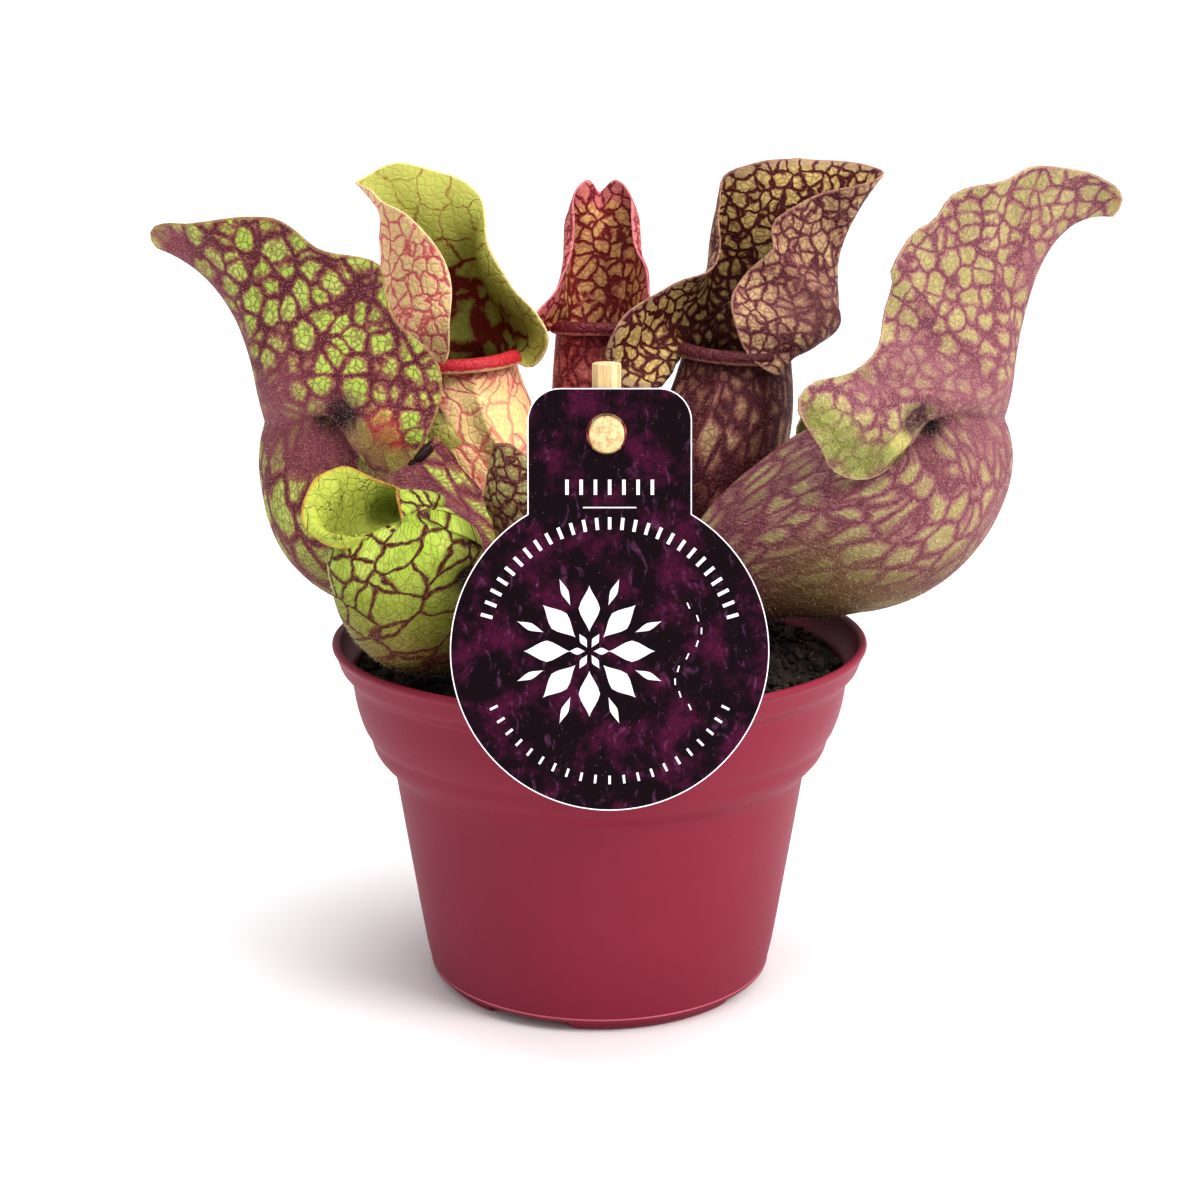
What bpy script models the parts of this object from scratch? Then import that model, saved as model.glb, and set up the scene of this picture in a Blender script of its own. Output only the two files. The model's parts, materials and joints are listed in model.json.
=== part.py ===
"""A purple pitcher plant in a 12 cm nursery pot, with a plain card tag hung on a wooden stake.

Lengths are in millimetres and angles in degrees; MM turns them into metres when a mesh is made.
Every pitcher has its own upright plane through the pot's axis. In it a point is (out, up, side):
"out" from the axis, "up" from the ground and "side" to the left of somebody looking outwards.
"""

import math

import bmesh
import bpy
import numpy as np
from mathutils import Matrix, Vector

MM = 0.001
GAP = 0.3  # clearance between pieces that touch

# Pot
RIM_RADIUS = 60.0
POT_HEIGHT = 80.0
POT_WALL = 1.4
RIM_ROUND = 1.4
FOOT_HEIGHT = 2.4
SEAM_RADIUS = 38.8
WAIST_RADIUS = 46.6
WAIST_HEIGHT = 49.5
BAND_RADIUS = 51.9
BAND_HEIGHT = 58.8
COLLAR_RADIUS = 55.8
COLLAR_HEIGHT = 73.4
POT_SIDES = 64
FOOT_COUNT = 4
FOOT_SPAN = 62.0
FOOT_START = -100.0
FOOT_OUTER = 37.6
FOOT_WIDTH = 4.2
DRAIN_HOLES = 6
DRAIN_RADIUS = 4.0
DRAIN_CIRCLE = 24.0

# Soil and crown
SOIL_LEVEL = 74.0
SOIL_RISE = 1.6
SOIL_SIDES = 40
CROWN_TOP = 75.2
CROWN_DEPTH = 8.0
CROWN_RADIUS = 26.0
CROWN_BASE_RADIUS = 21.0

# Tag: a card that hangs on a peg, between the top of the stake and the pot's rim
CARD_THICKNESS = 0.6
CARD_DISC_RADIUS = 31.5
CARD_DISC_CENTRE = 13.1
CARD_TOP = 64.9
CARD_NECK_HALF = 16.2
CARD_CORNER = 6.5
CARD_X = 2.0
HOLE_HEIGHT = 55.9
HOLE_RADIUS = 4.0
STAKE_RADIUS = 2.9
STAKE_TOP = 146.4
STAKE_FOOT = 53.0
STAKE_X = 1.4
STAKE_Y = -42.5
PEG_RADIUS = 3.5
PEG_STANDS_OUT = 2.2
TENON_RADIUS = 1.3
TENON_BORE = 1.6

# Pitchers
HOOD_COLUMNS = 7
LIP_COLUMNS = 2
TUBE_ROWS = 7
HOOD_ROWS = 6
LEAF_WALL = 1.1
BASE_HEIGHT = CROWN_TOP + GAP

PITCHERS = {
    "pitcher_left": dict(
        azimuth=174, dimple=104, wing=6, lip=1.6,
        spine=[(15, BASE_HEIGHT, 0), (22, 86, 0), (33, 95, 0), (44, 101, 0), (53.5, 108, 0),
               (58.5, 117, 0), (59.5, 127, 0)],
        width=[3.5, 7, 12, 16, 18, 16.5, 14.5],
        depth=[3.5, 8, 14, 19, 21, 18, 15.5],
        margin=[(96, 167, 0), (85, 170, 7), (70, 172, 12), (58, 166, 14), (46, 163, 16), (41, 152, 18),
                (33, 144, 20), (32, 133, 20.5), (35, 125, 21), (42, 119, 20.5), (49, 121, 18),
                (55, 127, 15.5)],
        far_margin=[(96, 167, 0), (87, 167, -8), (75, 166, -12), (64, 160, -14), (54, 156, -15),
                    (47, 148, -16), (38, 140, -17), (32, 130, -17.5), (31, 120, -17.5), (36, 114, -17.5),
                    (44, 116, -17.5), (53, 125, -15.5)],
        roll=[0.75, 0.3, 0.1, 0.0, 0.2],
    ),
    "pitcher_right": dict(
        azimuth=6, dimple=104, wing=7, lip=1.6,
        spine=[(15, BASE_HEIGHT, 0), (23, 86, 0), (36, 96, 0), (51, 102.5, 0), (65, 108, 0),
               (73, 117, 0), (75, 126, 0)],
        width=[3.5, 8, 14, 19, 21, 18, 15],
        depth=[3.5, 9, 15.5, 20.5, 22, 18.5, 16],
        margin=[(116, 175, 0), (98, 177, 10), (83, 172, 14), (70, 163, 16), (63, 154, 16),
                (59, 146, 16), (54, 137, 17), (45, 132, 17.5), (41, 125, 17.5), (44, 117, 17.8),
                (53, 113, 18), (62, 117, 17.5), (70, 126, 15.5)],
        far_margin=[(116, 175, 0), (95, 181, -9), (77, 178, -13), (64, 168, -15), (60, 160, -16),
                    (60, 151, -17), (53, 141, -20), (43, 139, -22), (39, 132, -24), (43, 124, -23),
                    (52, 117, -22), (61, 120, -19), (69, 127, -15.5)],
        roll=[0.75, 0.3, 0.1, 0.0, 0.2],
    ),
    "pitcher_back_left": dict(
        azimuth=104, dimple=116, wing=4, lip=1.6, tilt=0.35,
        spine=[(17, BASE_HEIGHT, 5), (24, 86, 8), (32, 98, 13), (40, 111, 18), (45, 124, 21),
               (48, 137, 22)],
        width=[3.5, 7, 11.5, 15, 14.5, 12],
        depth=[3.5, 8, 12.5, 15.5, 14.5, 12.5],
        margin=[(60, 178, 44), (48, 174, 42), (40, 171, 35), (35, 163, 29), (33, 153, 28),
                (32, 143, 28), (32, 134, 31), (38, 136, 34)],
        far_margin=[(60, 178, 44), (62, 180, 35), (58, 178, 26), (54, 174, 18), (48, 163, 16),
                    (42, 154, 12), (34, 147, 6), (31, 141, 4), (34, 136, 9), (40, 138, 12)],
        roll=[0.4, -0.2, -0.3, -0.2, 0.1],
        far_roll=[0.4, 0.3, 0.4, 0.4, 0.2],
    ),
    "pitcher_centre_back": dict(
        azimuth=90, dimple=112, wing=3, lip=1.4, tilt=0.2,
        spine=[(22, BASE_HEIGHT, 0), (28, 86, 0), (35, 98, 0), (41, 112, 0), (46, 127, 0),
               (49, 143, 0)],
        width=[3.5, 5.5, 8.5, 11, 11.5, 10.5],
        depth=[3.5, 6, 9, 12, 12, 11],
        margin=[(67, 174, 0), (64, 177, 3), (60, 173, 6), (54, 163, 6), (49, 157, 8), (42, 152, 11.5),
                (37, 147, 15), (38, 142, 15), (43, 143, 12)],
        far_margin=[(67, 174, 0), (64, 177, -4), (60, 173, -8), (54, 163, -9), (49, 157, -11),
                    (44, 151, -12), (41, 145, -13), (42, 140, -12.8), (45, 142, -11.2)],
        roll=[0.3, -0.3, -0.4, -0.3, 0.1],
    ),
    "pitcher_back_right": dict(
        azimuth=74, dimple=118, wing=4, lip=1.6, tilt=0.3,
        spine=[(17, BASE_HEIGHT, -5), (23, 86, -8), (30, 98, -13), (37, 112, -17), (42, 125, -20),
               (45, 139, -21)],
        width=[3.5, 7, 12, 15.5, 15, 12.5],
        depth=[3.5, 8, 12.5, 16, 15, 13],
        margin=[(62, 183, -31), (57, 179, -20), (52, 173, -15), (46, 165, -15), (40, 157, -10),
                (32, 151, -2), (25, 145, 4), (24, 137, 5), (28, 131, -1), (36, 137, -9)],
        far_margin=[(62, 183, -31), (66, 181, -46), (58, 179, -52), (48, 175, -38), (41, 168, -28),
                    (37, 159, -25), (32, 151, -22), (30, 143, -25), (32, 134, -34), (38, 137, -33)],
        roll=[0.3, 0.3, 0.2, 0.2, 0.2],
        far_roll=[0.3, 0.2, -0.1, -0.3, 0.1],
    ),
    "pitcher_front_small": dict(
        azimuth=208, dimple=100, wing=2, lip=1.2,
        spine=[(20, BASE_HEIGHT, 2), (28, 84, 5), (38, 90, 7), (47, 96, 7), (54, 102, 6), (57, 108, 5),
               (57, 113, 4)],
        width=[3.5, 7, 11, 13.5, 12.5, 10, 8],
        depth=[3.5, 7.5, 12, 15, 13, 10, 8],
        margin=[(69, 112, 4), (66, 119, 9), (60, 121, 11), (54, 118, 12), (47, 117, 14), (40, 113, 17),
                (36, 105, 18), (40, 99, 18), (47, 102, 14), (51, 109, 10)],
        far_margin=[(69, 112, 4), (68, 117, -3), (63, 120, -7), (55, 118, -9), (48, 113, -10),
                    (45, 107, -10), (49, 104, -9), (53, 110, -6)],
        roll=[0.5, 0.2, 0.1, 0.0, 0.2],
    ),
    "pitcher_young": dict(
        azimuth=225, dimple=110, wing=1.5, lip=0.8,
        spine=[(19, BASE_HEIGHT, 9), (22, 84, 9.5), (25, 93, 8.5), (28, 103, 6), (29.5, 112, 3.5)],
        width=[2.6, 4.5, 6, 5.5, 4.5],
        depth=[2.6, 4.5, 6, 5.5, 4.5],
        margin=[(33, 127, 2), (31, 127, 5), (28, 124, 7), (26, 119, 8.5), (26, 114, 8.5), (28, 113, 8)],
        far_margin=[(33, 127, 2), (31, 127, -1), (28, 124, -2), (26, 119, -3), (26, 114, -2), (28, 113, -1)],
        roll=[0.3, -0.2, -0.2, -0.2, 0.1],
    ),
}


def unit(vectors):
    return vectors / np.maximum(np.linalg.norm(vectors, axis=-1, keepdims=True), 1e-9)


def smooth_step(start, end, values):
    t = np.clip((values - start) / (end - start), 0, 1)
    return t * t * (3 - 2 * t)


def spread_along(points, fractions):
    """Points at fractions of the length of a Catmull-Rom curve through the given points."""
    points = np.asarray(points, float)
    padded = np.vstack([2 * points[0] - points[1], points, 2 * points[-1] - points[-2]])
    t = np.linspace(0, len(points) - 1, 400)
    index = np.minimum(t.astype(int), len(points) - 2)
    f = (t - index)[:, None]
    a, b, c, d = (padded[index + k] for k in range(4))
    square, cube = 2 * a - 5 * b + 4 * c - d, 3 * b - 3 * c + d - a
    curve = 0.5 * (2 * b + (c - a) * f + square * f**2 + cube * f**3)
    steps = np.linalg.norm(np.diff(curve[:, :3], axis=0), axis=1)
    length = np.concatenate([[0], np.cumsum(steps)])
    at = np.asarray(fractions) * length[-1]
    return np.stack([np.interp(at, length, curve[:, k]) for k in range(curve.shape[1])], -1)


def swap(points):
    """(out, up, side) as written above becomes (out, side, up), the order of a mesh's axes."""
    return np.asarray([(out, side, up) for out, up, side in points], float)


class Pitcher:
    """The surface of one pitcher leaf, as rows of points round it, from its foot to the hood's margin."""

    def __init__(self, azimuth, spine, width, depth, margin, roll, dimple, wing, lip,
                 far_margin=None, far_roll=None, tilt=0.0):
        self.azimuth = math.radians(azimuth)
        self.wing, self.lip, self.tilt = wing, lip, tilt
        self.margin = swap(margin)
        self.far_margin = swap(far_margin) if far_margin else self.margin * (1, -1, 1)
        self.roll, self.far_roll = roll, far_roll or roll
        self.spine = np.hstack([swap(spine), np.stack([width, depth], -1)])
        on_hood, on_lip = np.linspace(0, 1, HOOD_COLUMNS + 1), np.linspace(1, 2, LIP_COLUMNS + 1)
        half = np.concatenate([on_hood[:-1], on_lip])
        self.column = np.concatenate([half, half[-2:0:-1]])
        self.near = np.arange(len(self.column)) < len(half)
        turn = math.radians(dimple)
        turned_by = turn * np.minimum(self.column, 1) ** 0.85
        turned_by += (math.pi - turn) * np.maximum(self.column - 1, 0)
        self.angle = np.where(self.near, 1, -1) * turned_by

    def tube(self, rows, with_wing):
        """The tube from its foot to the mouth's rim, with the keel-like wing down its front."""
        v = np.linspace(0, 1, rows + 1)
        line = spread_along(self.spine, v)
        centre, width, depth = line[:, :3], line[:, 3], line[:, 4]
        self.along = unit(np.gradient(centre, axis=0))
        self.along[0] = (0, 0, 1)
        side = np.array([0, 1.0, 0])
        side = unit(side - (self.along @ side)[:, None] * self.along)
        back = np.cross(side, self.along)
        cos, sin = np.cos(self.angle), np.sin(self.angle)
        across = width[:, None, None] * sin[None, :, None] * side[:, None]
        ring = centre[:, None] + across + depth[:, None, None] * cos[None, :, None] * back[:, None]
        if with_wing:
            height = self.wing * np.sin(np.pi * v) ** 0.6
            ring[:, self.column == 2] -= (height[:, None] * back)[:, None]
        lift = smooth_step(0.8, 1, v)[:, None] * self.tilt * cos[None] * depth[-1]
        ring += lift[..., None] * self.along[-1]
        self.outward = unit(width[-1] * sin[:, None] * side[-1] + depth[-1] * cos[:, None] * back[-1])
        self.mouth = centre[-1]
        return ring

    def hood(self, rim, rows):
        """From the rim out to the margin: a hood over the back of the mouth, a rolled lip in front."""
        up = self.along[-1]
        hood = np.minimum(self.column, 1)
        near, far = spread_along(self.margin, hood), spread_along(self.far_margin, hood)
        edge = np.where(self.near[:, None], near, far)
        lean = np.radians(5 + 75 * hood**1.5)[:, None]
        leave = unit(up * np.cos(lean) + self.outward * np.sin(lean))
        chord = edge - rim
        length = np.linalg.norm(chord, axis=1, keepdims=True)
        chord = unit(chord)
        flare = edge - (self.mouth + 10 * up)
        flare = unit(flare - (flare * chord).sum(1, keepdims=True) * chord)
        knots = np.linspace(0, 1, len(self.roll))
        roll, far_roll = np.interp(hood, knots, self.roll), np.interp(hood, knots, self.far_roll)
        roll = np.where(self.near, roll, far_roll)[:, None]
        arrive = unit(chord * (1 - np.abs(roll)) + flare * roll)
        first, second = rim + leave * length * 0.42, edge - arrive * length * 0.38
        t = np.linspace(0, 1, rows + 1)[1:, None, None]
        sheet = (1 - t) ** 3 * rim + 3 * (1 - t) ** 2 * t * first
        sheet += 3 * (1 - t) * t**2 * second + t**3 * edge
        turn = np.radians(200) * t
        rolled = rim + self.lip * ((1 - np.cos(turn)) * self.outward + np.sin(turn) * up)
        at_near, at_far = HOOD_COLUMNS, len(self.column) - HOOD_COLUMNS
        near_end, far_end = sheet[:, [at_near]] - rim[at_near], sheet[:, [at_far]] - rim[at_far]
        side_end = np.where(self.near[None, :, None], near_end, far_end)
        share = smooth_step(1, 1.3, self.column)[None, :, None]
        front = (rim + side_end) * (1 - share) + rolled * share
        return np.where((self.column <= 1)[None, :, None], sheet, front)

    def solid(self):
        """(points, faces) of the leaf as one closed wall, in metres."""
        outer = self.tube(TUBE_ROWS, True)
        outer = np.concatenate([outer, self.hood(outer[-1], HOOD_ROWS)])
        plain = self.tube(TUBE_ROWS, False)
        plain = np.concatenate([plain, self.hood(plain[-1], HOOD_ROWS)])
        inner = plain - LEAF_WALL * normals_of(plain)
        inner = inner[2:][::-1]
        points = np.concatenate([outer, inner]).reshape(-1, 3)
        count = outer.shape[1]
        rows = len(outer) + len(inner)
        faces = []
        for i in range(rows - 1):
            for j in range(count):
                k = (j + 1) % count
                faces.append((i * count + j, i * count + k, (i + 1) * count + k, (i + 1) * count + j))
        points = np.concatenate([points, outer[:1].mean(axis=1), inner[-1:].mean(axis=1)])
        foot, pit, last = len(points) - 2, len(points) - 1, (rows - 1) * count
        for j in range(count):
            k = (j + 1) % count
            faces.append((foot, k, j))
            faces.append((pit, last + j, last + k))
        c, s = math.cos(self.azimuth), math.sin(self.azimuth)
        turn = np.array([[c, -s, 0], [s, c, 0], [0, 0, 1]])
        return points @ turn.T * MM, faces


def normals_of(grid):
    """Normals of a grid that closes on itself along its second axis, pointing to the leaf's outside."""
    along = np.gradient(grid, axis=0)
    around = np.roll(grid, -1, axis=1) - np.roll(grid, 1, axis=1)
    return unit(np.cross(around, along))


def material(name, colour, roughness, metallic=0.0):
    made = bpy.data.materials.new(name)
    made.use_nodes = True
    shader = made.node_tree.nodes["Principled BSDF"]
    shader.inputs["Base Color"].default_value = (*colour, 1)
    shader.inputs["Roughness"].default_value = roughness
    shader.inputs["Metallic"].default_value = metallic
    return made


def add_object(name, mesh, finish):
    piece = bpy.data.objects.new(name, mesh)
    bpy.context.scene.collection.objects.link(piece)
    mesh.materials.append(finish)
    mesh.shade_smooth()
    mesh.set_sharp_from_angle(angle=math.radians(35))
    return piece


def turned(name, profile, sides, finish):
    """A solid turned round the Z axis from a closed profile of (radius, height), in millimetres."""
    shape = bmesh.new()
    rings = []
    for radius, height in profile:
        count = sides if radius else 1
        angles = [2 * math.pi * k / count for k in range(count)]
        points = [Vector((radius * math.cos(a), radius * math.sin(a), height)) * MM for a in angles]
        rings.append([shape.verts.new(point) for point in points])
    for low, high in zip(rings, rings[1:] + rings[:1]):
        if len(low) == 1 and len(high) == 1:
            continue
        for k in range(sides):
            n = (k + 1) % sides
            corners = [low[k % len(low)], low[n % len(low)], high[n % len(high)], high[k % len(high)]]
            shape.faces.new(list(dict.fromkeys(corners)))
    return finished(name, shape, finish)


def finished(name, shape, finish):
    bmesh.ops.recalc_face_normals(shape, faces=shape.faces)
    mesh = bpy.data.meshes.new(name)
    shape.to_mesh(mesh)
    shape.free()
    return add_object(name, mesh, finish)


def cutter_cylinder(name, radius, length, matrix, sides=24):
    shape = bmesh.new()
    bmesh.ops.create_cone(shape, cap_ends=True, segments=sides, radius1=radius * MM, radius2=radius * MM,
                          depth=length * MM, matrix=matrix)
    mesh = bpy.data.meshes.new(name)
    shape.to_mesh(mesh)
    shape.free()
    cutter = bpy.data.objects.new(name, mesh)
    cutter.hide_render = True
    cutter.display_type = "WIRE"
    bpy.context.scene.collection.objects.link(cutter)
    return cutter


def cut(piece, cutter, operation="DIFFERENCE"):
    boolean = piece.modifiers.new(cutter.name, "BOOLEAN")
    boolean.operation = operation
    boolean.object = cutter
    boolean.solver = "EXACT"


def place(x, y, z):
    return Matrix.Translation(Vector((x, y, z)) * MM)


def make_pot():
    plastic = material("pot_plastic", (0.36, 0.05, 0.095), 0.42)
    wall, floor = POT_WALL, FOOT_HEIGHT
    outside = [
        (SEAM_RADIUS, floor),
        (SEAM_RADIUS + 1.3, floor + 4.5),
        (WAIST_RADIUS, WAIST_HEIGHT),
        (BAND_RADIUS - 2.8, WAIST_HEIGHT + 2.2),
        (BAND_RADIUS - 0.3, WAIST_HEIGHT + 6.3),
        (BAND_RADIUS, BAND_HEIGHT),
        (BAND_RADIUS + 1.6, BAND_HEIGHT + 2.4),
        (COLLAR_RADIUS - 0.8, BAND_HEIGHT + 7),
        (COLLAR_RADIUS, COLLAR_HEIGHT - 2),
        (RIM_RADIUS - 1.8, COLLAR_HEIGHT),
        (RIM_RADIUS - 0.2, COLLAR_HEIGHT + 2.4),
        (RIM_RADIUS, POT_HEIGHT - RIM_ROUND),
        (RIM_RADIUS - 0.7, POT_HEIGHT),
    ]
    inside = [
        (RIM_RADIUS - 1.9, POT_HEIGHT - 0.3),
        (COLLAR_RADIUS - wall, COLLAR_HEIGHT - 2),
        (BAND_RADIUS - wall, BAND_HEIGHT - 1),
        (WAIST_RADIUS - wall, WAIST_HEIGHT),
        (SEAM_RADIUS + 1.3 - wall, floor + 4.5),
        (SEAM_RADIUS - wall - 0.8, floor + wall),
        (0, floor + wall),
        (0, floor),
    ]
    pot = turned("pot", outside + inside, POT_SIDES, plastic)
    feet = pot_feet()
    cut(pot, feet, "UNION")
    for k in range(DRAIN_HOLES):
        angle = 2 * math.pi * (k + 0.5) / DRAIN_HOLES
        at = place(DRAIN_CIRCLE * math.cos(angle), DRAIN_CIRCLE * math.sin(angle), floor)
        cut(pot, cutter_cylinder(f"drain_{k}", DRAIN_RADIUS, 8, at, 16))
    return pot


def pot_feet():
    """The four arcs that the pot stands on, as one helper mesh of closed blocks."""
    shape = bmesh.new()
    steps = 8
    for k in range(FOOT_COUNT):
        start = FOOT_START + 360 / FOOT_COUNT * k
        angles = [math.radians(start + FOOT_SPAN * s / steps) for s in range(steps + 1)]
        sections = []
        for a in angles:
            c, s = math.cos(a) * MM, math.sin(a) * MM
            inner = FOOT_OUTER - FOOT_WIDTH
            top = FOOT_HEIGHT + 0.5
            corners = [(FOOT_OUTER, 0), (FOOT_OUTER + 0.4, top), (inner, top), (inner, 0)]
            sections.append([shape.verts.new((r * c, r * s, z * MM)) for r, z in corners])
        for one, two in zip(sections, sections[1:]):
            for i in range(4):
                j = (i + 1) % 4
                shape.faces.new((one[i], one[j], two[j], two[i]))
        shape.faces.new(sections[0])
        shape.faces.new(sections[-1][::-1])
    bmesh.ops.recalc_face_normals(shape, faces=shape.faces)
    mesh = bpy.data.meshes.new("feet_cutter")
    shape.to_mesh(mesh)
    shape.free()
    feet = bpy.data.objects.new("feet_cutter", mesh)
    feet.hide_render = True
    feet.display_type = "WIRE"
    bpy.context.scene.collection.objects.link(feet)
    return feet


def make_soil():
    peat = material("peat", (0.035, 0.018, 0.01), 0.95)
    gap = POT_WALL + GAP + 0.1
    profile = [
        (0, FOOT_HEIGHT + POT_WALL + GAP),
        (SEAM_RADIUS - gap - 1.2, FOOT_HEIGHT + POT_WALL + GAP),
        (SEAM_RADIUS + 1.3 - gap, FOOT_HEIGHT + 4.8),
        (WAIST_RADIUS - gap, WAIST_HEIGHT),
        (BAND_RADIUS - gap, BAND_HEIGHT - 1),
        (COLLAR_RADIUS - gap, COLLAR_HEIGHT - 2),
        (COLLAR_RADIUS - gap + 0.9, SOIL_LEVEL),
        (COLLAR_RADIUS - gap - 9, SOIL_LEVEL + SOIL_RISE - 0.6),
        (CROWN_RADIUS + GAP, CROWN_TOP - 1.2),
        (CROWN_BASE_RADIUS + GAP, CROWN_TOP - CROWN_DEPTH - GAP),
        (0, CROWN_TOP - CROWN_DEPTH - GAP),
    ]
    soil = turned("soil", profile, SOIL_SIDES, peat)
    length = 60.0
    stake_hole = cutter_cylinder("stake_hole", STAKE_RADIUS + GAP + 0.05, length,
                                 place(STAKE_X, STAKE_Y, STAKE_FOOT - GAP + length / 2))
    cut(soil, stake_hole)
    return soil


def make_crown():
    bark = material("rhizome", (0.10, 0.045, 0.03), 0.8)
    profile = [
        (0, CROWN_TOP - CROWN_DEPTH),
        (CROWN_BASE_RADIUS, CROWN_TOP - CROWN_DEPTH),
        (CROWN_RADIUS - 0.4, CROWN_TOP - 1.2),
        (CROWN_RADIUS - 2.5, CROWN_TOP),
        (0, CROWN_TOP),
    ]
    return turned("rhizome", profile, 32, bark)


def card_frame():
    """The card's own frame: X across, Y up the card, Z its normal towards its printed face."""
    foot = Vector((CARD_X, -RIM_RADIUS - GAP, POT_HEIGHT - RIM_ROUND))
    head_y = STAKE_Y - STAKE_RADIUS - GAP
    lean = math.asin((head_y - foot.y) / CARD_TOP)
    up = Vector((0, math.sin(lean), math.cos(lean)))
    normal = Vector((1, 0, 0)).cross(up)
    turn = Matrix((Vector((1, 0, 0)), up, normal)).transposed().to_4x4()
    return Matrix.Translation(foot * MM) @ turn


def arc(centre_x, centre_y, radius, start, end, steps):
    angles = [math.radians(start + (end - start) * k / steps) for k in range(steps + 1)]
    return [(centre_x + radius * math.cos(a), centre_y + radius * math.sin(a)) for a in angles]


def make_card():
    paper = material("tag_card", (0.03, 0.008, 0.025), 0.35)
    meet = math.degrees(math.asin(CARD_NECK_HALF / CARD_DISC_RADIUS))
    corner_x, corner_y = CARD_NECK_HALF - CARD_CORNER, CARD_TOP - CARD_CORNER
    outline = arc(0, CARD_DISC_CENTRE, CARD_DISC_RADIUS, 90 + meet, 450 - meet, 48)
    outline += arc(corner_x, corner_y, CARD_CORNER, 0, 90, 6)
    outline += arc(-corner_x, corner_y, CARD_CORNER, 90, 180, 6)
    shape = bmesh.new()
    frame = card_frame()
    back, front = [
        [shape.verts.new(frame @ (Vector((x, y, z)) * MM)) for x, y in outline] for z in (0, CARD_THICKNESS)
    ]
    shape.faces.new(back)
    shape.faces.new(front)
    for k in range(len(outline)):
        n = (k + 1) % len(outline)
        shape.faces.new((back[k], back[n], front[n], front[k]))
    card = finished("tag_card", shape, paper)
    hole = frame @ place(STAKE_X - CARD_X, HOLE_HEIGHT, 0)
    cut(card, cutter_cylinder("tag_hole", HOLE_RADIUS, 6, hole))
    return card


def peg_point():
    """Where the peg's axis passes through the card."""
    return card_frame() @ Vector(((STAKE_X - CARD_X) * MM, HOLE_HEIGHT * MM, 0)) / MM


def make_stake():
    wood = material("wood", (0.62, 0.46, 0.27), 0.6)
    shape = bmesh.new()
    height = STAKE_TOP - STAKE_FOOT
    middle = place(STAKE_X, STAKE_Y, STAKE_FOOT + height / 2)
    bmesh.ops.create_cone(shape, cap_ends=True, segments=24, radius1=STAKE_RADIUS * MM,
                          radius2=STAKE_RADIUS * MM, depth=height * MM, matrix=middle)
    stake = finished("tag_stake", shape, wood)
    at = peg_point()
    lying = Matrix.Rotation(math.pi / 2, 4, "X")
    cut(stake, cutter_cylinder("tenon_bore", TENON_BORE, 12, place(at.x, STAKE_Y, at.z) @ lying, 16))
    return stake


def make_peg():
    """A round peg through the card's hole, with a thinner tenon that is glued into the stake."""
    wood = material("peg_wood", (0.66, 0.5, 0.3), 0.6)
    at = peg_point()
    front = at.y - PEG_STANDS_OUT
    shoulder = STAKE_Y - STAKE_RADIUS - GAP
    end = STAKE_Y + STAKE_RADIUS - 0.6
    profile = [
        (0, front), (PEG_RADIUS - 0.4, front), (PEG_RADIUS, front + 0.4), (PEG_RADIUS, shoulder),
        (TENON_RADIUS, shoulder), (TENON_RADIUS, end), (0, end),
    ]
    peg = turned("tag_peg", profile, 24, wood)
    peg.data.transform(Matrix.Translation((at.x * MM, 0, at.z * MM)) @ Matrix.Rotation(-math.pi / 2, 4, "X"))
    return peg


def make_pitchers():
    leaf = material("leaf", (0.25, 0.09, 0.06), 0.4)
    for name, shape in PITCHERS.items():
        points, faces = Pitcher(**shape).solid()
        mesh = bpy.data.meshes.new(name)
        mesh.from_pydata(points.tolist(), [], faces)
        add_object(name, mesh, leaf)


def centre_on_origin():
    """Moves every piece so that the origin is at the middle of the underside of the whole plant's box."""
    bpy.context.view_layer.update()
    graph = bpy.context.evaluated_depsgraph_get()
    shown = [piece for piece in bpy.data.objects if not piece.hide_render]
    corners = []
    for piece in shown:
        seen = piece.evaluated_get(graph)
        corners += [seen.matrix_world @ vertex.co for vertex in seen.data.vertices]
    low = Vector([min(c[k] for c in corners) for k in range(3)])
    high = Vector([max(c[k] for c in corners) for k in range(3)])
    shift = Matrix.Translation((-(low.x + high.x) / 2, -(low.y + high.y) / 2, -low.z))
    for piece in bpy.data.objects:
        piece.data.transform(shift)


def main():
    for piece in list(bpy.data.objects):
        bpy.data.objects.remove(piece)
    make_pot()
    make_soil()
    make_crown()
    make_pitchers()
    make_card()
    make_stake()
    make_peg()
    centre_on_origin()


main()
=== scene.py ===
"""A purple pitcher plant in a nursery pot, with a plain card tag on a stake, built around its frame.

Lengths are in millimetres and angles in degrees until a mesh is made; MM turns them into metres.
Every leaf has its own upright plane through the pot's axis. In it a point is (out, up, side):
"out" from the axis, "up" from the ground and "side" to the left of somebody looking outwards.
"""
import json
import math
import random

import bmesh
import bpy
import numpy as np
from bpy.props import FloatProperty, FloatVectorProperty, IntProperty, PointerProperty
from mathutils import Matrix, Vector, noise

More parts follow.
